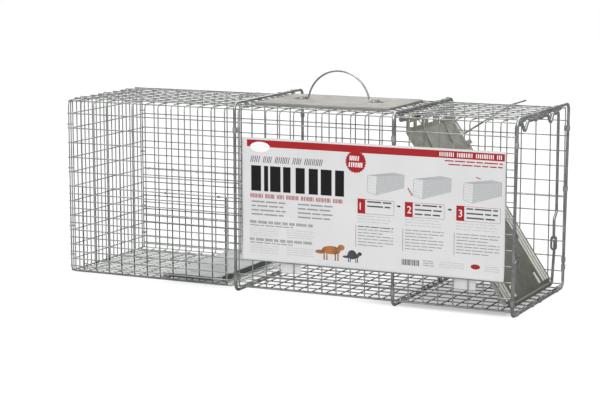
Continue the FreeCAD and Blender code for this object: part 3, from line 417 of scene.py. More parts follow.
# Painted light lifts the rear floor wires; painted shade darkens the rear side uprights and the front floor
# wires.
REAR_FLOOR_PAINTED_LIGHT = (painted_light_rear_floor_wires, 1.5)
LOWER_PAINTED_LIGHT_AND_SHADE = ((painted_shade_rear_uprights, 0.35), REAR_FLOOR_PAINTED_LIGHT, (painted_shade_front_floor_wires, 0.72))
LOWER_WIRE = zinc_wire("zinc_lower_wire", MESH_TINT, painted_light_and_shade=LOWER_PAINTED_LIGHT_AND_SHADE)
GUARD_WIRE = zinc_wire("zinc_guard_wire", MESH_TINT, painted_light_and_shade=(REAR_FLOOR_PAINTED_LIGHT,))
RING_WIRE = zinc_wire("zinc_ring_wire", colour(186, 188, 186))
ROD = zinc_wire("zinc_rod", colour(192, 194, 193), metallic=0.9, rough=(0.18, 0.32))
SPRING_FINISH = zinc_wire("spring_wire", colour(120, 120, 118), metallic=0.85, rough=(0.25, 0.4))
WELD = zinc_wire("weld_zinc", colour(168, 170, 168), metallic=0.7, rough=(0.35, 0.55))
DOOR_SHEET = door_finish()
RIDGE_SHEET = zinc_sheet(
    "zinc_ridge_sheet", colour(200, 201, 192),
    spangle=85.0, contrast=0.16, metallic=0.85, rough=(0.2, 0.32),
)
GUARD_SHEET = zinc_sheet(
    "zinc_guard_sheet", colour(167, 164, 158),
    spangle=95.0, contrast=0.08, metallic=0.45, rough=(0.4, 0.55),
)
# The treadle's lips are darkened with painted shade.
TREADLE_SHEET = zinc_sheet(
    "zinc_treadle_sheet", colour(206, 208, 208),
    spangle=80.0, contrast=0.1, metallic=0.45, rough=(0.38, 0.52), painted_light_and_shade=((painted_shade_treadle_lips, 0.22),),
)
BRACKET_SHEET = zinc_sheet("zinc_bracket_sheet", colour(170, 170, 164), spangle=120.0, contrast=0.12)
RIVET = rivet_finish()
CARD = card_stock()
INK = {
    "red": card_ink("ink_red", colour(170, 18, 25)),
    "black": card_ink("ink_black", colour(7, 7, 7), rough=0.62),
    "dark": card_ink("ink_dark", colour(72, 73, 75)),
    "grey": card_ink("ink_grey", colour(150, 151, 153)),
    "pale": card_ink("ink_pale", colour(196, 197, 199)),
    "white": card_ink("ink_white", colour(246, 246, 247)),
    "warm": picture_ink("ink_warm", colour(104, 58, 28), colour(178, 118, 66)),
    "cool": picture_ink("ink_cool", colour(24, 24, 26), colour(84, 84, 86)),
}

NODE_FINISH = {
    "upper_mesh": MESH_WIRE, "lower_mesh": LOWER_WIRE, "rear_end_mesh": MESH_WIRE,
    "bait_guard_mesh": GUARD_WIRE,
    "seam_rings": RING_WIRE, "end_panel_rings": RING_WIRE, "hoop_clips": RING_WIRE,
    "guard_rings": RING_WIRE,
    "middle_hoop": ROD, "hinge_hoop": ROD, "entrance_hoop": ROD,
    "carry_handle": ROD, "door_hinge_rod": ROD, "lock_arms": ROD, "lock_link": ROD,
    "trigger_shaft": ROD, "trigger_link": ROD, "treadle_pivot_rod": ROD,
    "guard_plate": GUARD_SHEET, "handle_saddles": BRACKET_SHEET, "backing_straps": BRACKET_SHEET,
    "door_panel": DOOR_SHEET, "door_catch": DOOR_SHEET, "door_stiffeners": RIDGE_SHEET,
    "hinge_straps": BRACKET_SHEET, "lock_bar_hangers": BRACKET_SHEET, "shaft_guides": BRACKET_SHEET,
    "treadle_plate": TREADLE_SHEET, "treadle_brackets": BRACKET_SHEET,
    "handle_rivets": RIVET, "hinge_rod_caps": RIVET,
    "door_springs": SPRING_FINISH, "label_card": CARD,
}


SHARP_EDGE = math.radians(38)


def finish_cad_nodes():
    """Material and smooth shading on every CAD node, with its sharp edges kept."""
    for name, node in frame["nodes"].items():
        node.data.materials.clear()
        node.data.materials.append(NODE_FINISH[name])
        node.data.shade_smooth()
        split = node.modifiers.new("edge_normals", "EDGE_SPLIT")
        split.split_angle = SHARP_EDGE


# ------------------------------------------------------------ mesh helpers
def add_piece(name, vertices, faces, material, body):
    """A new mesh object that rides on a body; body is None for a piece that rides on none."""
    mesh = bpy.data.meshes.new(name)
    mesh.from_pydata(vertices, [], faces)
    mesh.validate()
    mesh.materials.append(material)
    piece = bpy.data.objects.new(name, mesh)
    bpy.context.scene.collection.objects.link(piece)
    if body:
        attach(piece, body)
    return piece


def tube(points, radius, sides):
    """Vertices and faces of a closed round tube along points."""
    vertices = []
    faces = []
    direction = (points[1] - points[0]).normalized()
    side = direction.orthogonal().normalized()
    for i, point in enumerate(points):
        before = points[max(i - 1, 0)]
        after = points[min(i + 1, len(points) - 1)]
        turned = (after - before).normalized()
        side = (direction.rotation_difference(turned).to_matrix() @ side).normalized()
        direction = turned
        up = direction.cross(side)
        for j in range(sides):
            angle = 2 * math.pi * j / sides
            vertices.append(point + (side * math.cos(angle) + up * math.sin(angle)) * radius)
    for i in range(len(points) - 1):
        for j in range(sides):
            k = (j + 1) % sides
            faces.append((i * sides + j, i * sides + k, (i + 1) * sides + k, (i + 1) * sides + j))
    faces.append(tuple(reversed(range(sides))))
    faces.append(tuple(range((len(points) - 1) * sides, len(points) * sides)))
    return vertices, faces


def merged(parts):
    """One vertex and face list from many."""
    vertices = []
    faces = []
    for part_vertices, part_faces in parts:
        base = len(vertices)
        vertices.extend(part_vertices)
        faces.extend(tuple(base + index for index in face) for face in part_faces)
    return vertices, faces


BEAD_RINGS, BEAD_SIDES = 3, 8


def bead(centre, half):
    """A small ellipsoid with the given half sizes."""
    vertices = [Vector((0, 0, 1))]
    faces = []
    rings, sides = BEAD_RINGS, BEAD_SIDES
    for i in range(1, rings + 1):
        tilt = math.pi * i / (rings + 1)
        for j in range(sides):
            turn = 2 * math.pi * j / sides
            x, y = math.sin(tilt) * math.cos(turn), math.sin(tilt) * math.sin(turn)
            vertices.append(Vector((x, y, math.cos(tilt))))
    vertices.append(Vector((0, 0, -1)))
    last = len(vertices) - 1
    for j in range(sides):
        k = (j + 1) % sides
        faces.append((0, 1 + j, 1 + k))
        faces.append((last, last - sides + k, last - sides + j))
        for i in range(rings - 1):
            first = 1 + i * sides
            faces.append((first + j, first + sides + j, first + sides + k, first + k))
    scaled_vertices = [centre + Vector((v.x * half[0], v.y * half[1], v.z * half[2])) for v in vertices]
    return scaled_vertices, faces


def smooth(piece):
    for polygon in piece.data.polygons:
        polygon.use_smooth = True


# ------------------------------------------------------------ weld beads of the mesh
WELD_FLAT = 0.9 * MM
WELD_WIDE = 1.5 * MM
WELD_SPREAD = (0.85, 1.1)
WELD_SEED = 7


def weld_columns():
    return [MESH_LOW[0] + WIRE_R + k * PITCH_X for k in range(CELLS_LONG + 1)]


def weld_places(columns, rows, lanes, flat_z):
    """Crossings of the upright columns with the side rows and the floor or roof lanes."""
    places = []
    for x in columns:
        for side in (-1, 1):
            places += [(Vector((x, side * WELD_Y, z)), "side") for z in rows]
        places += [(Vector((x, y, flat_z)), "flat") for y in lanes]
    return places


def weld_beads():
    """Squeezed zinc beads where the wires of the mesh are welded together."""
    rng = random.Random(WELD_SEED)
    floor_z = MESH_LOW[2] + 2 * WIRE_R
    roof_z = MESH_HIGH[2] - 2 * WIRE_R
    lanes = [-WIDTH / 2 + i * PITCH_Y for i in range(1, CELLS_WIDE)]
    upper_rows = [MESH_LOW[2] + j * PITCH_Z for j in range(SEAM_CELL + 1, CELLS_HIGH)]
    lower_rows = [MESH_LOW[2] + j * PITCH_Z for j in range(1, SEAM_CELL)]
    guard_rows = [MESH_LOW[2] + (j + 0.5) * PITCH_Z for j in range(SEAM_CELL)]
    guard_lanes = [-WIDTH / 2 + (i + 0.5) * PITCH_Y for i in range(CELLS_WIDE)]
    columns = weld_columns()
    guard_columns = columns[:GUARD_CELLS + 1]
    sets = {
        "upper_weld_beads": weld_places(columns, upper_rows, lanes, roof_z),
        "lower_weld_beads": weld_places(columns, lower_rows, lanes, floor_z),
        "guard_weld_beads": weld_places(guard_columns, guard_rows, guard_lanes, floor_z),
    }
    for name, places in sets.items():
        parts = []
        for place, lie in places:
            wide = WELD_WIDE * rng.uniform(*WELD_SPREAD)
            half = (wide, WELD_FLAT, wide) if lie == "side" else (wide, wide, WELD_FLAT)
            parts.append(bead(place, half))
        vertices, faces = merged(parts)
        smooth(add_piece(name, vertices, faces, WELD, "cage"))


# Beads of a hoop's butt weld: place along Y and swell over the rod, in mm.
HOOP_WELD_BEADS = ((-1.6, 0.2), (-0.6, 0.45), (0.5, 0.4), (1.5, 0.15))
HOOP_WELD_HALF_LENGTH = 1.6 * MM


def hoop_welds():
    """The butt weld that closes each hoop, under the floor, and its ground-down collar."""
    for name in ("middle_hoop", "hinge_hoop", "entrance_hoop"):
        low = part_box(name)[0]
        parts = []
        for offset, swell in HOOP_WELD_BEADS:
            centre = Vector((low[0] + HOOP_R, offset * MM, low[2] + HOOP_R + 0.15 * MM))
            half = (HOOP_R + swell * MM, HOOP_WELD_HALF_LENGTH, HOOP_R + 0.1 * MM)
            parts.append(bead(centre, half))
        vertices, faces = merged(parts)
        smooth(add_piece(name + "_weld", vertices, faces, WELD, "cage"))


# ------------------------------------------------------------ torsion springs
SPRING_COIL_R = 3.9 * MM
SPRING_WIRE_R = 0.8 * MM
SPRING_TURNS = 9
SPRING_Y0 = 45.0 * MM
SPRING_PITCH = 1.7 * MM
SPRING_STEPS_PER_TURN = 18
SPRING_START = math.radians(225)
SPRING_END = math.radians(270)

# The legs' points, from the hinge axis at the leg's end of the coil.
DOOR_LEG_FOOT = Vector((26.2, 0, -51.7)) * MM
DOOR_LEG_TIP_BEYOND = Vector((3.0, 0, -1.0)) * MM
DOOR_LEG_BENDS = (Vector((6.4, 0, -12.0)) * MM, Vector((4.0, 0, -9.4)) * MM)
ROOF_LEG_BEND = Vector((-6.0, 0, -3.4)) * MM
ROOF_LEG_TIP = Vector((-34.5, 0, 3.6)) * MM


def spring_span(side):
    """Y of the coil's end at the door's leg, and at the roof's leg."""
    return side * SPRING_Y0, side * (SPRING_Y0 + SPRING_PITCH * SPRING_TURNS)


def spring_path(side):
    """Points from the tip on the door, through the coil, to the tip under the roof."""
    inner, outer = spring_span(side)
    at_door = Vector((HINGE.x, inner, HINGE.z))
    at_roof = Vector((HINGE.x, outer, HINGE.z))
    points = [at_door + DOOR_LEG_FOOT + DOOR_LEG_TIP_BEYOND, at_door + DOOR_LEG_FOOT]
    points += [at_door + bend for bend in DOOR_LEG_BENDS]
    end = SPRING_END - 2 * math.pi * (SPRING_TURNS + 1)
    steps = SPRING_STEPS_PER_TURN * SPRING_TURNS
    for i in range(steps + 1):
        share = i / steps
        angle = SPRING_START + (end - SPRING_START) * share
        y = inner + (outer - inner) * share
        ring = Vector((math.cos(angle), 0, math.sin(angle))) * SPRING_COIL_R
        points.append(Vector((HINGE.x, y, HINGE.z)) + ring)
    return points + [at_roof + ROOF_LEG_BEND, at_roof + ROOF_LEG_TIP]


def door_springs():
    """Each spring, coiled on the hinge between the cage and the door."""
    for side, name in ((-1, "door_spring_near"), (1, "door_spring_far")):
        vertices, faces = tube(spring_path(side), SPRING_WIRE_R, sides=8)
        piece = add_piece(name, vertices, faces, SPRING_FINISH, None)
        smooth(piece)
        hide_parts("door_springs")
        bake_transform(piece)


# ------------------------------------------------------------ printed card
CARD_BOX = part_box("label_card")
CARD_LEFT = CARD_BOX[0][0]
CARD_WIDE = CARD_BOX[1][0] - CARD_BOX[0][0]
CARD_TOP = CARD_BOX[1][2]
CARD_HIGH = 204.0 * MM
CARD_FRONT = CARD_BOX[0][1]
CARD_THICK = 0.55 * MM
CARD_CORNER_IN_MM = 2.0
CARD_STEPS_ACROSS, CARD_STEPS_DOWN = 110, 50
HOOP_SHARE = (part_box("hinge_hoop")[1][0] - CARD_LEFT) / CARD_WIDE
INK_STEP = 0.05 * MM
INK_THICK = INK_STEP * 0.8

FACE_REST = 0.35 * MM
SAG_REAR, SAG_FRONT = 1.7 * MM, 1.3 * MM
RIPPLE = 0.25 * MM
EDGE_BAND, FOOT_BAND = 0.14, 0.3
CORNER_LIFT = 2.6 * MM
FOOT_WAVE = 0.6 * MM


def card_front(x, z):
    """The card's outer face: it rests on the hoops, sags between them and lifts at its foot."""
    u = (x - CARD_LEFT) / CARD_WIDE
    v = (CARD_TOP - z) / CARD_HIGH
    if u < HOOP_SHARE:
        sag = SAG_REAR * math.sin(math.pi * max(u, 0) / HOOP_SHARE) ** 2
    else:
        sag = SAG_FRONT * math.sin(math.pi * min((u - HOOP_SHARE) / (1 - HOOP_SHARE), 1)) ** 2
    ripple = RIPPLE * math.sin(9.0 * u + 2.0) * math.sin(3.1 * v + 0.6)
    edge = max(0.0, abs(u - 0.5) * 2 - (1 - EDGE_BAND)) / EDGE_BAND
    foot = max(0.0, v - (1 - FOOT_BAND)) / FOOT_BAND
    lift = CORNER_LIFT * edge ** 2 * foot ** 2 + FOOT_WAVE * foot ** 2 * math.sin(5 * u) ** 2
    return CARD_FRONT + FACE_REST + sag + ripple - lift


def card_point(u, v, proud):
    """u mm from the card's left edge, v mm down from its top, proud of the face."""
    x = CARD_LEFT + u * MM
    z = CARD_TOP - v * MM
    return Vector((x, card_front(x, z) - proud, z))


def grid_faces(rows, columns):
    """Faces over a grid of points that are stored row by row."""
    faces = []
    for i in range(rows):
        for j in range(columns):
            a = i * (columns + 1) + j
            faces.append((a, a + 1, a + columns + 2, a + columns + 1))
    return faces


def thicken(piece, thickness, direction):
    shell = piece.modifiers.new("thickness", "SOLIDIFY")
    shell.thickness = thickness
    shell.offset = direction


def card_sheet():
    """The board itself, with rounded corners."""
    wide, high = CARD_WIDE / MM, CARD_HIGH / MM
    vertices = []
    for i in range(CARD_STEPS_ACROSS + 1):
        for j in range(CARD_STEPS_DOWN + 1):
            u = wide * i / CARD_STEPS_ACROSS
            v = high * j / CARD_STEPS_DOWN
            du = CARD_CORNER_IN_MM - min(u, wide - u)
            dv = CARD_CORNER_IN_MM - min(v, high - v)
            if du > 0 and dv > 0:
                shrink = max(du, dv) / math.hypot(du, dv)
                u += (1 if u < wide / 2 else -1) * du * (1 - shrink)
                v += (1 if v < high / 2 else -1) * dv * (1 - shrink)
            vertices.append(card_point(u, v, 0))
    faces = grid_faces(CARD_STEPS_ACROSS, CARD_STEPS_DOWN)
    piece = add_piece("printed_card", vertices, faces, CARD, "cage")
    thicken(piece, CARD_THICK, -1)
    smooth(piece)
    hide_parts("label_card")


TAB_COLUMNS = (("card_tab_rear", 16), ("card_tab_front", 28))
TAB_PASS_Z = MESH_LOW[2] + 2.78 * PITCH_Z
TAB_INSIDE = CARD_BOX[1][1] - 0.3 * MM
TAB_BEND = 2.2 * MM
TAB_BEND_STEPS, TAB_HANG_STEPS, TAB_STEPS_ACROSS = 6, 8, 8
TAB_BOW = 0.9 * MM
TAB_NECK, TAB_WIDE = 21.0 * MM, 36.0 * MM
TAB_NECK_ROWS = 5
TAB_FOLD_IN = 2.6 * MM
TAB_BESIDE_WIRE = 1.5 * MM


def tab_profile():
    """A tab's course from the card, through the mesh and down, as pairs of Y and Z."""
    profile = [(CARD_FRONT + TAB_FOLD_IN, TAB_PASS_Z)]
    for i in range(TAB_BEND_STEPS + 1):
        turn = math.pi / 2 * i / TAB_BEND_STEPS
        y = TAB_INSIDE - TAB_BEND + TAB_BEND * math.sin(turn)
        profile.append((y, TAB_PASS_Z - TAB_BEND + TAB_BEND * math.cos(turn)))
    drop = CARD_BOX[0][2] - TAB_PASS_Z + TAB_BEND
    for i in range(1, TAB_HANG_STEPS + 1):
        share = i / TAB_HANG_STEPS
        bow = TAB_BOW * math.sin(math.pi * share)
        profile.append((TAB_INSIDE + bow, TAB_PASS_Z - TAB_BEND + drop * share))
    return profile


def card_tabs():
    """Folded tabs: through the mesh above the card's foot, then down inside it."""
    columns = weld_columns()
    profile = tab_profile()
    for name, k in TAB_COLUMNS:
        vertices = []
        for row, (y, z) in enumerate(profile):
            wide = TAB_NECK if row < TAB_NECK_ROWS else TAB_WIDE
            for i in range(TAB_STEPS_ACROSS + 1):
                x = columns[k] + TAB_BESIDE_WIRE + wide * i / TAB_STEPS_ACROSS
                vertices.append(Vector((x, y, z)))
        faces = grid_faces(len(profile) - 1, TAB_STEPS_ACROSS)
        piece = add_piece(name, vertices, faces, CARD, "cage")
        thicken(piece, CARD_THICK, 0)


DISC_POINTS = 28
STRIP_WIDE_IN_MM = 9.0


class Print:
    """Collects flat ink shapes of one colour and lays them on the card's face."""

    def __init__(self, name, ink, layer):
        self.name = name
        self.ink = ink
        self.proud = (1 + layer) * INK_STEP
        self.parts = []

    def outline(self, points):
        """A shape from its corners in card mm, cut into strips that follow the card."""
        flat = [Vector((u, v, 0)) for u, v in points]
        self.parts.append(strips(flat))

    def bar(self, u, v, wide, high, slant=0.0):
        """A rectangle with its top left corner at u, v."""
        lean = slant * high
        self.outline([(u + lean, v), (u + wide + lean, v), (u + wide, v + high), (u, v + high)])

    def line(self, start, end, thick):
        along = Vector((end[0] - start[0], end[1] - start[1], 0)).normalized() * thick / 2
        across = Vector((-along.y, along.x, 0))
        corners = [
            (start[0] + across.x, start[1] + across.y), (end[0] + across.x, end[1] + across.y),
            (end[0] - across.x, end[1] - across.y), (start[0] - across.x, start[1] - across.y),
        ]
        self.outline(corners)

    def disc(self, u, v, half_wide, half_high, teeth=0, ripple=0.0):
        """An ellipse around u, v, or a toothed one whose valleys are drawn in by ripple."""
        count = teeth * 2 if teeth else DISC_POINTS
        corners = []
        for i in range(count):
            turn = 2 * math.pi * i / count
            reach = 1.0 if not teeth or i % 2 else 1.0 - ripple
            corners.append((u + half_wide * reach * math.cos(turn), v + half_high * reach * math.sin(turn)))
        self.outline(corners)

    def words(self, rng, u, v, wide, high, density):
        """A line of greeked words: bars of uneven length with gaps."""
        place = u
        while place < u + wide - high:
            length = min(rng.uniform(2.2, 7.5) * high, u + wide - place)
            self.bar(place, v, length, high * density)
            place += length + 0.75 * high

    def strokes(self, rng, u, v, wide, high, pitch, thick, slant=0.0):
        """A line of greeked lettering: upright strokes in groups, with no letter shapes."""
        place = u
        group = rng.randint(5, 9)
        while place < u + wide - thick:
            self.bar(place, v, thick, high, slant)
            group -= 1
            place += pitch * rng.uniform(0.85, 1.15)
            if group == 0:
                place += 1.4 * pitch
                group = rng.randint(5, 11)

    def animal(self, u, v, size):
        """A plain four-legged silhouette facing right, with the middle of its body at u, v."""
        self.disc(u, v, 0.42 * size, 0.17 * size)
        self.disc(u + 0.44 * size, v - 0.14 * size, 0.15 * size, 0.12 * size)
        self.disc(u - 0.5 * size, v + 0.1 * size, 0.22 * size, 0.08 * size)
        for leg in (-0.32, -0.2, 0.18, 0.3):
            self.bar(u + leg * size - 0.03 * size, v + 0.06 * size, 0.06 * size, 0.36 * size)

    def finish(self):
        vertices, faces = merged(self.parts)
        placed = [card_point(v.x, v.y, self.proud) for v in vertices]
        piece = add_piece(self.name, placed, faces, self.ink, "cage")
        thicken(piece, INK_THICK, -1)


def clip(polygon, limit, keep_above):
    """The part of a polygon on one side of the line x = limit."""
    kept = []
    for i, here in enumerate(polygon):
        following = polygon[(i + 1) % len(polygon)]
        inside = (here.x >= limit) == keep_above
        inside_next = (following.x >= limit) == keep_above
        if inside:
            kept.append(here)
        if inside != inside_next:
            share = (limit - here.x) / (following.x - here.x)
            kept.append(here.lerp(following, share))
    return kept


def strips(polygon):
    """A polygon cut into upright strips."""
    step = STRIP_WIDE_IN_MM
    low = min(p.x for p in polygon)
    high = max(p.x for p in polygon)
    vertices = []
    faces = []
    edge = math.floor(low / step) * step
    while edge < high:
        piece = clip(clip(polygon, edge, True), edge + step, False)
        if len(piece) > 2:
            base = len(vertices)
            vertices.extend(piece)
            faces.append(tuple(range(base, base + len(piece))))
        edge += step
    return vertices, faces


def numeral(layer, text, u, v, high):
    """A plain numeral as ink, from Blender's own font."""
    data = bpy.data.curves.new("numeral", "FONT")
    data.body = text
    data.resolution_u = 3
    holder = bpy.data.objects.new("numeral", data)
    bpy.context.scene.collection.objects.link(holder)
    mesh = holder.to_mesh()
    top = max(p.co.y for p in mesh.vertices)
    left = min(p.co.x for p in mesh.vertices)
    scale = high / top
    vertices = [Vector((u + (p.co.x - left) * scale, v - p.co.y * scale, 0)) for p in mesh.vertices]
    faces = [tuple(reversed(p.vertices)) for p in mesh.polygons]
    layer.parts.append((vertices, faces))
    holder.to_mesh_clear()
    bpy.data.objects.remove(holder)
    bpy.data.curves.remove(data)


def hatched(tint, layer, corners, across, down, thick):
    """A four-sided face of a drawing: a pale fill with a grid of lines over it."""
    tint.outline(corners)
    a, b, c, d = [Vector((u, v, 0)) for u, v in corners]
    for i in range(across + 1):
        share = i / across
        layer.line(a.lerp(b, share).xy, d.lerp(c, share).xy, thick)
    for j in range(down + 1):
        share = j / down
        layer.line(a.lerp(d, share).xy, b.lerp(c, share).xy, thick)


def cage_sketch(tint, layer, frame_layer, u, v, wide, high):
    """A small line drawing of a mesh box seen from its open end."""
    def at(share, drop):
        return (u + share * wide, v + drop * high)
    end = (at(0.02, 0.18), at(0.27, 0.2), at(0.25, 1.0), at(0.0, 0.88))
    side = (at(0.27, 0.2), at(1.0, 0.07), at(0.99, 0.62), at(0.25, 1.0))
    top = (at(0.02, 0.18), at(0.72, 0.0), at(1.0, 0.07), at(0.27, 0.2))
    hatched(tint, layer, side, across=18, down=7, thick=0.32)
    hatched(tint, layer, top, across=10, down=3, thick=0.25)
    for j in range(6):
        layer.line(at(0.03, 0.26 + 0.11 * j), at(0.25, 0.29 + 0.12 * j), 0.2)
    for first, last in ((end[0], end[3]), (end[1], end[2]), (side[1], side[2]), (end[3], end[2])):
        frame_layer.line(first, last, 0.35)


def arrow(layer, u, v):
    layer.bar(u, v + 1.2, 3.2, 2.0)
    layer.outline([(u + 3.0, v), (u + 6.6, v + 2.2), (u + 3.0, v + 4.4)])


# The card's layout, in mm from its left edge (u) and down from its top (v).
HEADING_V, HEADING_HIGH = 46.0, 42.0
HEADING_BLOCKS = (
    (16.5, 34.5), (40.0, 47.5), (51.0, 70.0), (74.5, 88.0),
    (97.0, 113.5), (120.5, 137.0), (142.0, 161.5), (167.5, 183.5),
)
BURST_U, BURST_V, BURST_R = 204.0, 30.0, 18.6
LIST_COLUMNS, LIST_TOP, LIST_PITCH = (17.0, 101.0), 104.6, 7.0
PARAGRAPH_TOPS = (137.5, 166.5)
PRINT_SEED = 11

# The three steps: left edge of the number box, width of the text box, corner of the drawing.
STEPS = (
    {"left": 207.5, "wide": 50.0, "sketch": (224.0, 43.5), "lines": 2},
    {"left": 289.5, "wide": 53.0, "sketch": (303.0, 44.5), "lines": 3},
    {"left": 376.0, "wide": 60.0, "sketch": (387.0, 45.5), "lines": 3},
)
STEP_TOP, STEP_HIGH, NUMBER_WIDE = 88.8, 24.0, 13.4
NUMERAL_FOOT, NUMERAL_HIGH = 106.6, 11.4
BOX_TOP, BOX_FOOT, BOX_HIGH, BOX_LINE = 89.2, 112.4, 23.6, 0.45
BOX_TEXT_TOP, BOX_TEXT_PITCH = 91.8, 7.2
CAPTION_TOP, CAPTION_PITCH, CAPTION_ROWS = 116.0, 4.6, 3
RULE_TOP, RULE_HIGH, RULE_WIDE = 132.0, 36.0, 0.6
DETAIL_TOP, DETAIL_PITCH, DETAIL_ROWS = 133.2, 5.0, 7
SKETCH_WIDE, SKETCH_HIGH = 64.0, 38.0
BARCODE_U, BARCODE_END, BARCODE_V, BARCODE_HIGH = 285.0, 314.0, 181.0, 9.5


def print_band(rng, ink):
    """The red band along the top with a white line, a blank oval, and two red lines below it."""
    ink["red"].bar(u=9.0, v=3.6, wide=CARD_WIDE / MM - 11.0, high=11.4)
    ink["white"].disc(u=33.0, v=15.2, half_wide=18.0, half_high=8.6)
    ink["white"].strokes(rng, u=347.0, v=6.0, wide=104.0, high=6.6, pitch=3.0, thick=1.5)
    for row in range(2):
        indent = 6 * row
        ink["red"].words(rng, 356.0 + indent, 18.4 + 5.6 * row, 96.0 - indent, 3.0, 0.6)


def print_heading(rng, ink):
    """The big black heading as a row of plain blocks, between a slanted and a red line."""
    for start, stop in HEADING_BLOCKS:
        ink["black"].bar(start, HEADING_V, stop - start, HEADING_HIGH)
    ink["black"].strokes(rng, u=15.0, v=30.0, wide=130.0, high=10.6, pitch=3.4, thick=1.2, slant=0.25)
    ink["red"].strokes(rng, u=15.0, v=92.6, wide=167.0, high=6.8, pitch=2.6, thick=1.4)


def print_burst(rng, ink):
    """A toothed red disc with two short white lines."""
    burst = Print("print_burst", INK["red"], 1)
    burst.disc(BURST_U, BURST_V, BURST_R, BURST_R, teeth=24, ripple=0.1)
    burst.finish()
    for du, dv, wide in ((-11.0, -9.5, 22.0), (-12.5, 1.0, 25.0)):
        ink["white"].strokes(rng, BURST_U + du, BURST_V + dv, wide, 7.6, pitch=3.6, thick=2.0, slant=0.1)


def print_left_text(rng, ink):
    """Two columns of list lines, then two headed paragraphs."""
    for column in LIST_COLUMNS:
        for row in range(4):
            ink["grey"].words(rng, column, LIST_TOP + LIST_PITCH * row, 62.0 - 4 * (row % 2), 3.4, 0.7)
    for top in PARAGRAPH_TOPS:
        ink["dark"].strokes(rng, 14.0, top, wide=114.0, high=4.6, pitch=1.7, thick=0.75)
        ink["grey"].words(rng, 14.0, top + 7.0, 78.0, 2.6, 0.6)
        for row in range(4):
            ink["pale"].words(rng, 14.0, top + 12.0 + 3.8 * row, 52.0, 2.2, 0.5)
            ink["pale"].words(rng, 80.0, top + 12.0 + 3.8 * row, 50.0, 2.2, 0.5)


def print_animals(ink):
    ink["warm"].animal(u=161.0, v=177.0, size=40.0)
    ink["cool"].animal(u=200.0, v=183.0, size=26.0)
    ink["cool"].disc(u=198.0, v=181.5, half_wide=8.0, half_high=7.5)


def print_step(rng, ink, index, step):
    """One step: a numbered box with text, lines under it, and a drawing above."""
    left, wide = step["left"], step["wide"]
    ink["red"].bar(left, STEP_TOP, NUMBER_WIDE, STEP_HIGH)
    numeral(ink["white"], str(index + 1), u=left + 3.9, v=NUMERAL_FOOT, high=NUMERAL_HIGH)
    for v in (BOX_TOP, BOX_FOOT):
        ink["red"].bar(left + NUMBER_WIDE, v, wide, BOX_LINE)
    ink["red"].bar(left + 13.0 + wide, BOX_TOP, BOX_LINE, BOX_HIGH)
    for row in range(step["lines"]):
        ink["dark"].words(rng, left + 17.0, BOX_TEXT_TOP + BOX_TEXT_PITCH * row, wide - 8.0, 4.0, 0.55)
    for row in range(CAPTION_ROWS):
        ink["pale"].words(rng, left, CAPTION_TOP + CAPTION_PITCH * row, wide + 8.0, 2.4, 0.55)
    rule = ink["red"] if index == 0 else ink["dark"]
    rule.bar(left - 3.4, RULE_TOP, RULE_WIDE, RULE_HIGH)
    for row in range(DETAIL_ROWS):
        layer = ink["dark"] if row == 0 and index == 0 else ink["grey"]
        reach = wide + 12.0 - (18.0 if row in (2, 6) else 0.0)
        layer.words(rng, left + 0.6, DETAIL_TOP + DETAIL_PITCH * row, reach, 2.6, 0.5)
    cage_sketch(ink["pale"], ink["grey"], ink["dark"], *step["sketch"], SKETCH_WIDE, SKETCH_HIGH)


def print_marks(ink):
    """Arrows between the steps, and two red strokes that show motion in the drawings."""
    arrow(ink["black"], 276.0, 94.6)
    arrow(ink["black"], 362.0, 94.2)
    for i in range(5):
        ink["red"].bar(294.0 + 1.5 * i, 66.5 + 2.4 * i, 2.2, 2.2)
        ink["red"].bar(408.0 + 1.6 * i, 42.0 + 0.5 * i, 1.8, 1.3)


def print_foot(rng, ink):
    """Random bars in place of a bar code, small print and a blank red oval."""
    place = BARCODE_U
    while place < BARCODE_END:
        stroke = rng.choice((0.45, 0.8, 1.3))
        ink["black"].bar(place, BARCODE_V, stroke, BARCODE_HIGH)
        place += stroke + rng.choice((0.5, 0.8, 1.1))
    for row in range(3):
        ink["grey"].words(rng, 321.0, 180.6 + 3.6 * row, 18.0, 2.0, 0.6)
        ink["pale"].words(rng, 348.0, 180.6 + 3.6 * row, 42.0, 2.0, 0.6)
        ink["pale"].words(rng, 424.0, 181.6 + 3.4 * row, 26.0, 2.0, 0.6)
    ink["red"].disc(u=409.0, v=184.0, half_wide=8.0, half_high=4.0)


# Each ink's piece and how many layers it lies above the board.
PRINT_LAYERS = {
    "red": ("print_red", 0), "black": ("print_black", 0),
    "dark": ("print_dark", 1), "grey": ("print_grey", 1),
    "pale": ("print_pale", 0), "white": ("print_white", 2),
    "warm": ("print_warm_panel", 0), "cool": ("print_cool_panel", 0),
}


def card_print():
    """Generic card art: blank shapes, greeked text and the numerals 1 to 3."""
    rng = random.Random(PRINT_SEED)
    ink = {key: Print(name, INK[key], layer) for key, (name, layer) in PRINT_LAYERS.items()}
    print_band(rng, ink)
    print_heading(rng, ink)
    print_burst(rng, ink)
    print_left_text(rng, ink)
    print_animals(ink)
    for index, step in enumerate(STEPS):
        print_step(rng, ink, index, step)
    print_marks(ink)
    print_foot(rng, ink)
    for layer in ink.values():
        layer.finish()


# ------------------------------------------------------------ stage
CAMERA_PLACE = Vector((1.3152, -2.7874, 0.6301))
CAMERA_AHEAD = Vector((-0.4274, 0.8904, -0.1564))
CAMERA_RIGHT = Vector((0.9016, 0.4325, -0.0018))
CAMERA_LENS = 110.0
CAMERA_SENSOR = 36.0


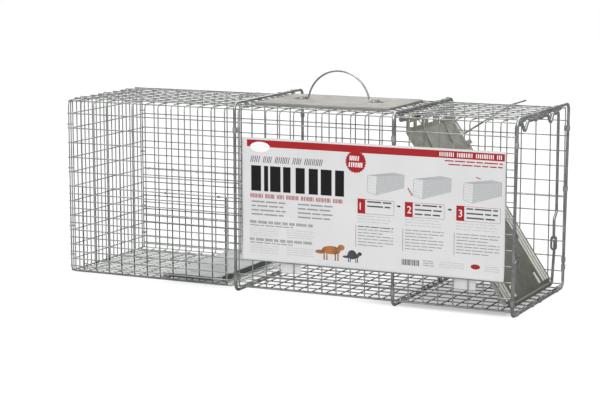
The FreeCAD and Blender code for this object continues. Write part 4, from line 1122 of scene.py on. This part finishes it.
def add_camera():
    """A camera at the given place, its right axis made square to its aim."""
    data = bpy.data.cameras.new("camera")
    data.lens = CAMERA_LENS
    data.sensor_width = CAMERA_SENSOR
    camera = bpy.data.objects.new("camera", data)
    ahead = CAMERA_AHEAD.normalized()
    right = (CAMERA_RIGHT - ahead * CAMERA_RIGHT.dot(ahead)).normalized()
    up = right.cross(ahead)
    turn = Matrix((right, up, -ahead)).transposed()
    camera.matrix_world = Matrix.Translation(CAMERA_PLACE) @ turn.to_4x4()
    bpy.context.scene.collection.objects.link(camera)
    bpy.context.scene.camera = camera


FLOOR_HALF = 60.0


def add_floor():
    half = FLOOR_HALF
    corners = [(-half, -half, 0), (half, -half, 0), (half, half, 0), (-half, half, 0)]
    mesh = bpy.data.meshes.new("floor")
    mesh.from_pydata(corners, [], [(0, 1, 2, 3)])
    mesh.materials.append(floor_finish())
    floor = bpy.data.objects.new("floor", mesh)
    bpy.context.scene.collection.objects.link(floor)


LIGHT_TARGET = (0.0, 0.0, 0.15)


def add_area_light(name, place, size, power):
    """A rectangular white light in watts, aimed at the middle of the trap."""
    data = bpy.data.lights.new(name, "AREA")
    data.shape = "RECTANGLE"
    data.size, data.size_y = size
    data.energy = power
    light = bpy.data.objects.new(name, data)
    light.location = place
    light.rotation_euler = (Vector(LIGHT_TARGET) - Vector(place)).to_track_quat("-Z", "Y").to_euler()
    bpy.context.scene.collection.objects.link(light)


# Brightness of the surroundings: by the height of a direction, and by how far it faces the camera.
WORLD_BY_HEIGHT = ((0.0, 0.06), (0.15, 0.12), (0.45, 0.6), (1.0, 0.8))
WORLD_BY_FRONT = ((0.5, 0.0), (0.95, 0.55))


def add_world():
    """Dark studio walls with a bright band on the camera's side and a bright ceiling."""
    world = bpy.data.worlds.new("studio")
    world.use_nodes = True
    tree = world.node_tree
    place = tree.nodes.new("ShaderNodeTexCoord").outputs["Generated"]
    split = tree.nodes.new("ShaderNodeSeparateXYZ")
    tree.links.new(place, split.inputs[0])
    high = ramp_node(tree, split.outputs["Z"], WORLD_BY_HEIGHT)
    turned = tree.nodes.new("ShaderNodeVectorMath")
    turned.operation = "DOT_PRODUCT"
    tree.links.new(place, turned.inputs[0])
    turned.inputs[1].default_value = -CAMERA_AHEAD.normalized()
    front = ramp_node(tree, turned.outputs["Value"], WORLD_BY_FRONT)
    total = tree.nodes.new("ShaderNodeVectorMath")
    total.operation = "ADD"
    tree.links.new(high, total.inputs[0])
    tree.links.new(front, total.inputs[1])
    tree.links.new(total.outputs["Vector"], tree.nodes["Background"].inputs["Color"])
    tree.nodes["Background"].inputs["Strength"].default_value = 1.0
    bpy.context.scene.world = world


def add_studio():
    add_world()
    add_floor()
    add_area_light("key_light", place=(0.3, -3.0, 2.0), size=(1.2, 1.4), power=22)
    add_area_light("rear_light", place=(-0.8, 2.2, 2.2), size=(2.6, 1.2), power=28)
    add_area_light("top_light", place=(0.2, 0.0, 3.2), size=(2.6, 1.6), power=20)
    add_camera()
    bpy.context.scene.view_settings.view_transform = "Standard"


# ------------------------------------------------------------ build
finish_cad_nodes()
weld_beads()
hoop_welds()
door_springs()
card_sheet()
card_tabs()
card_print()
add_studio()
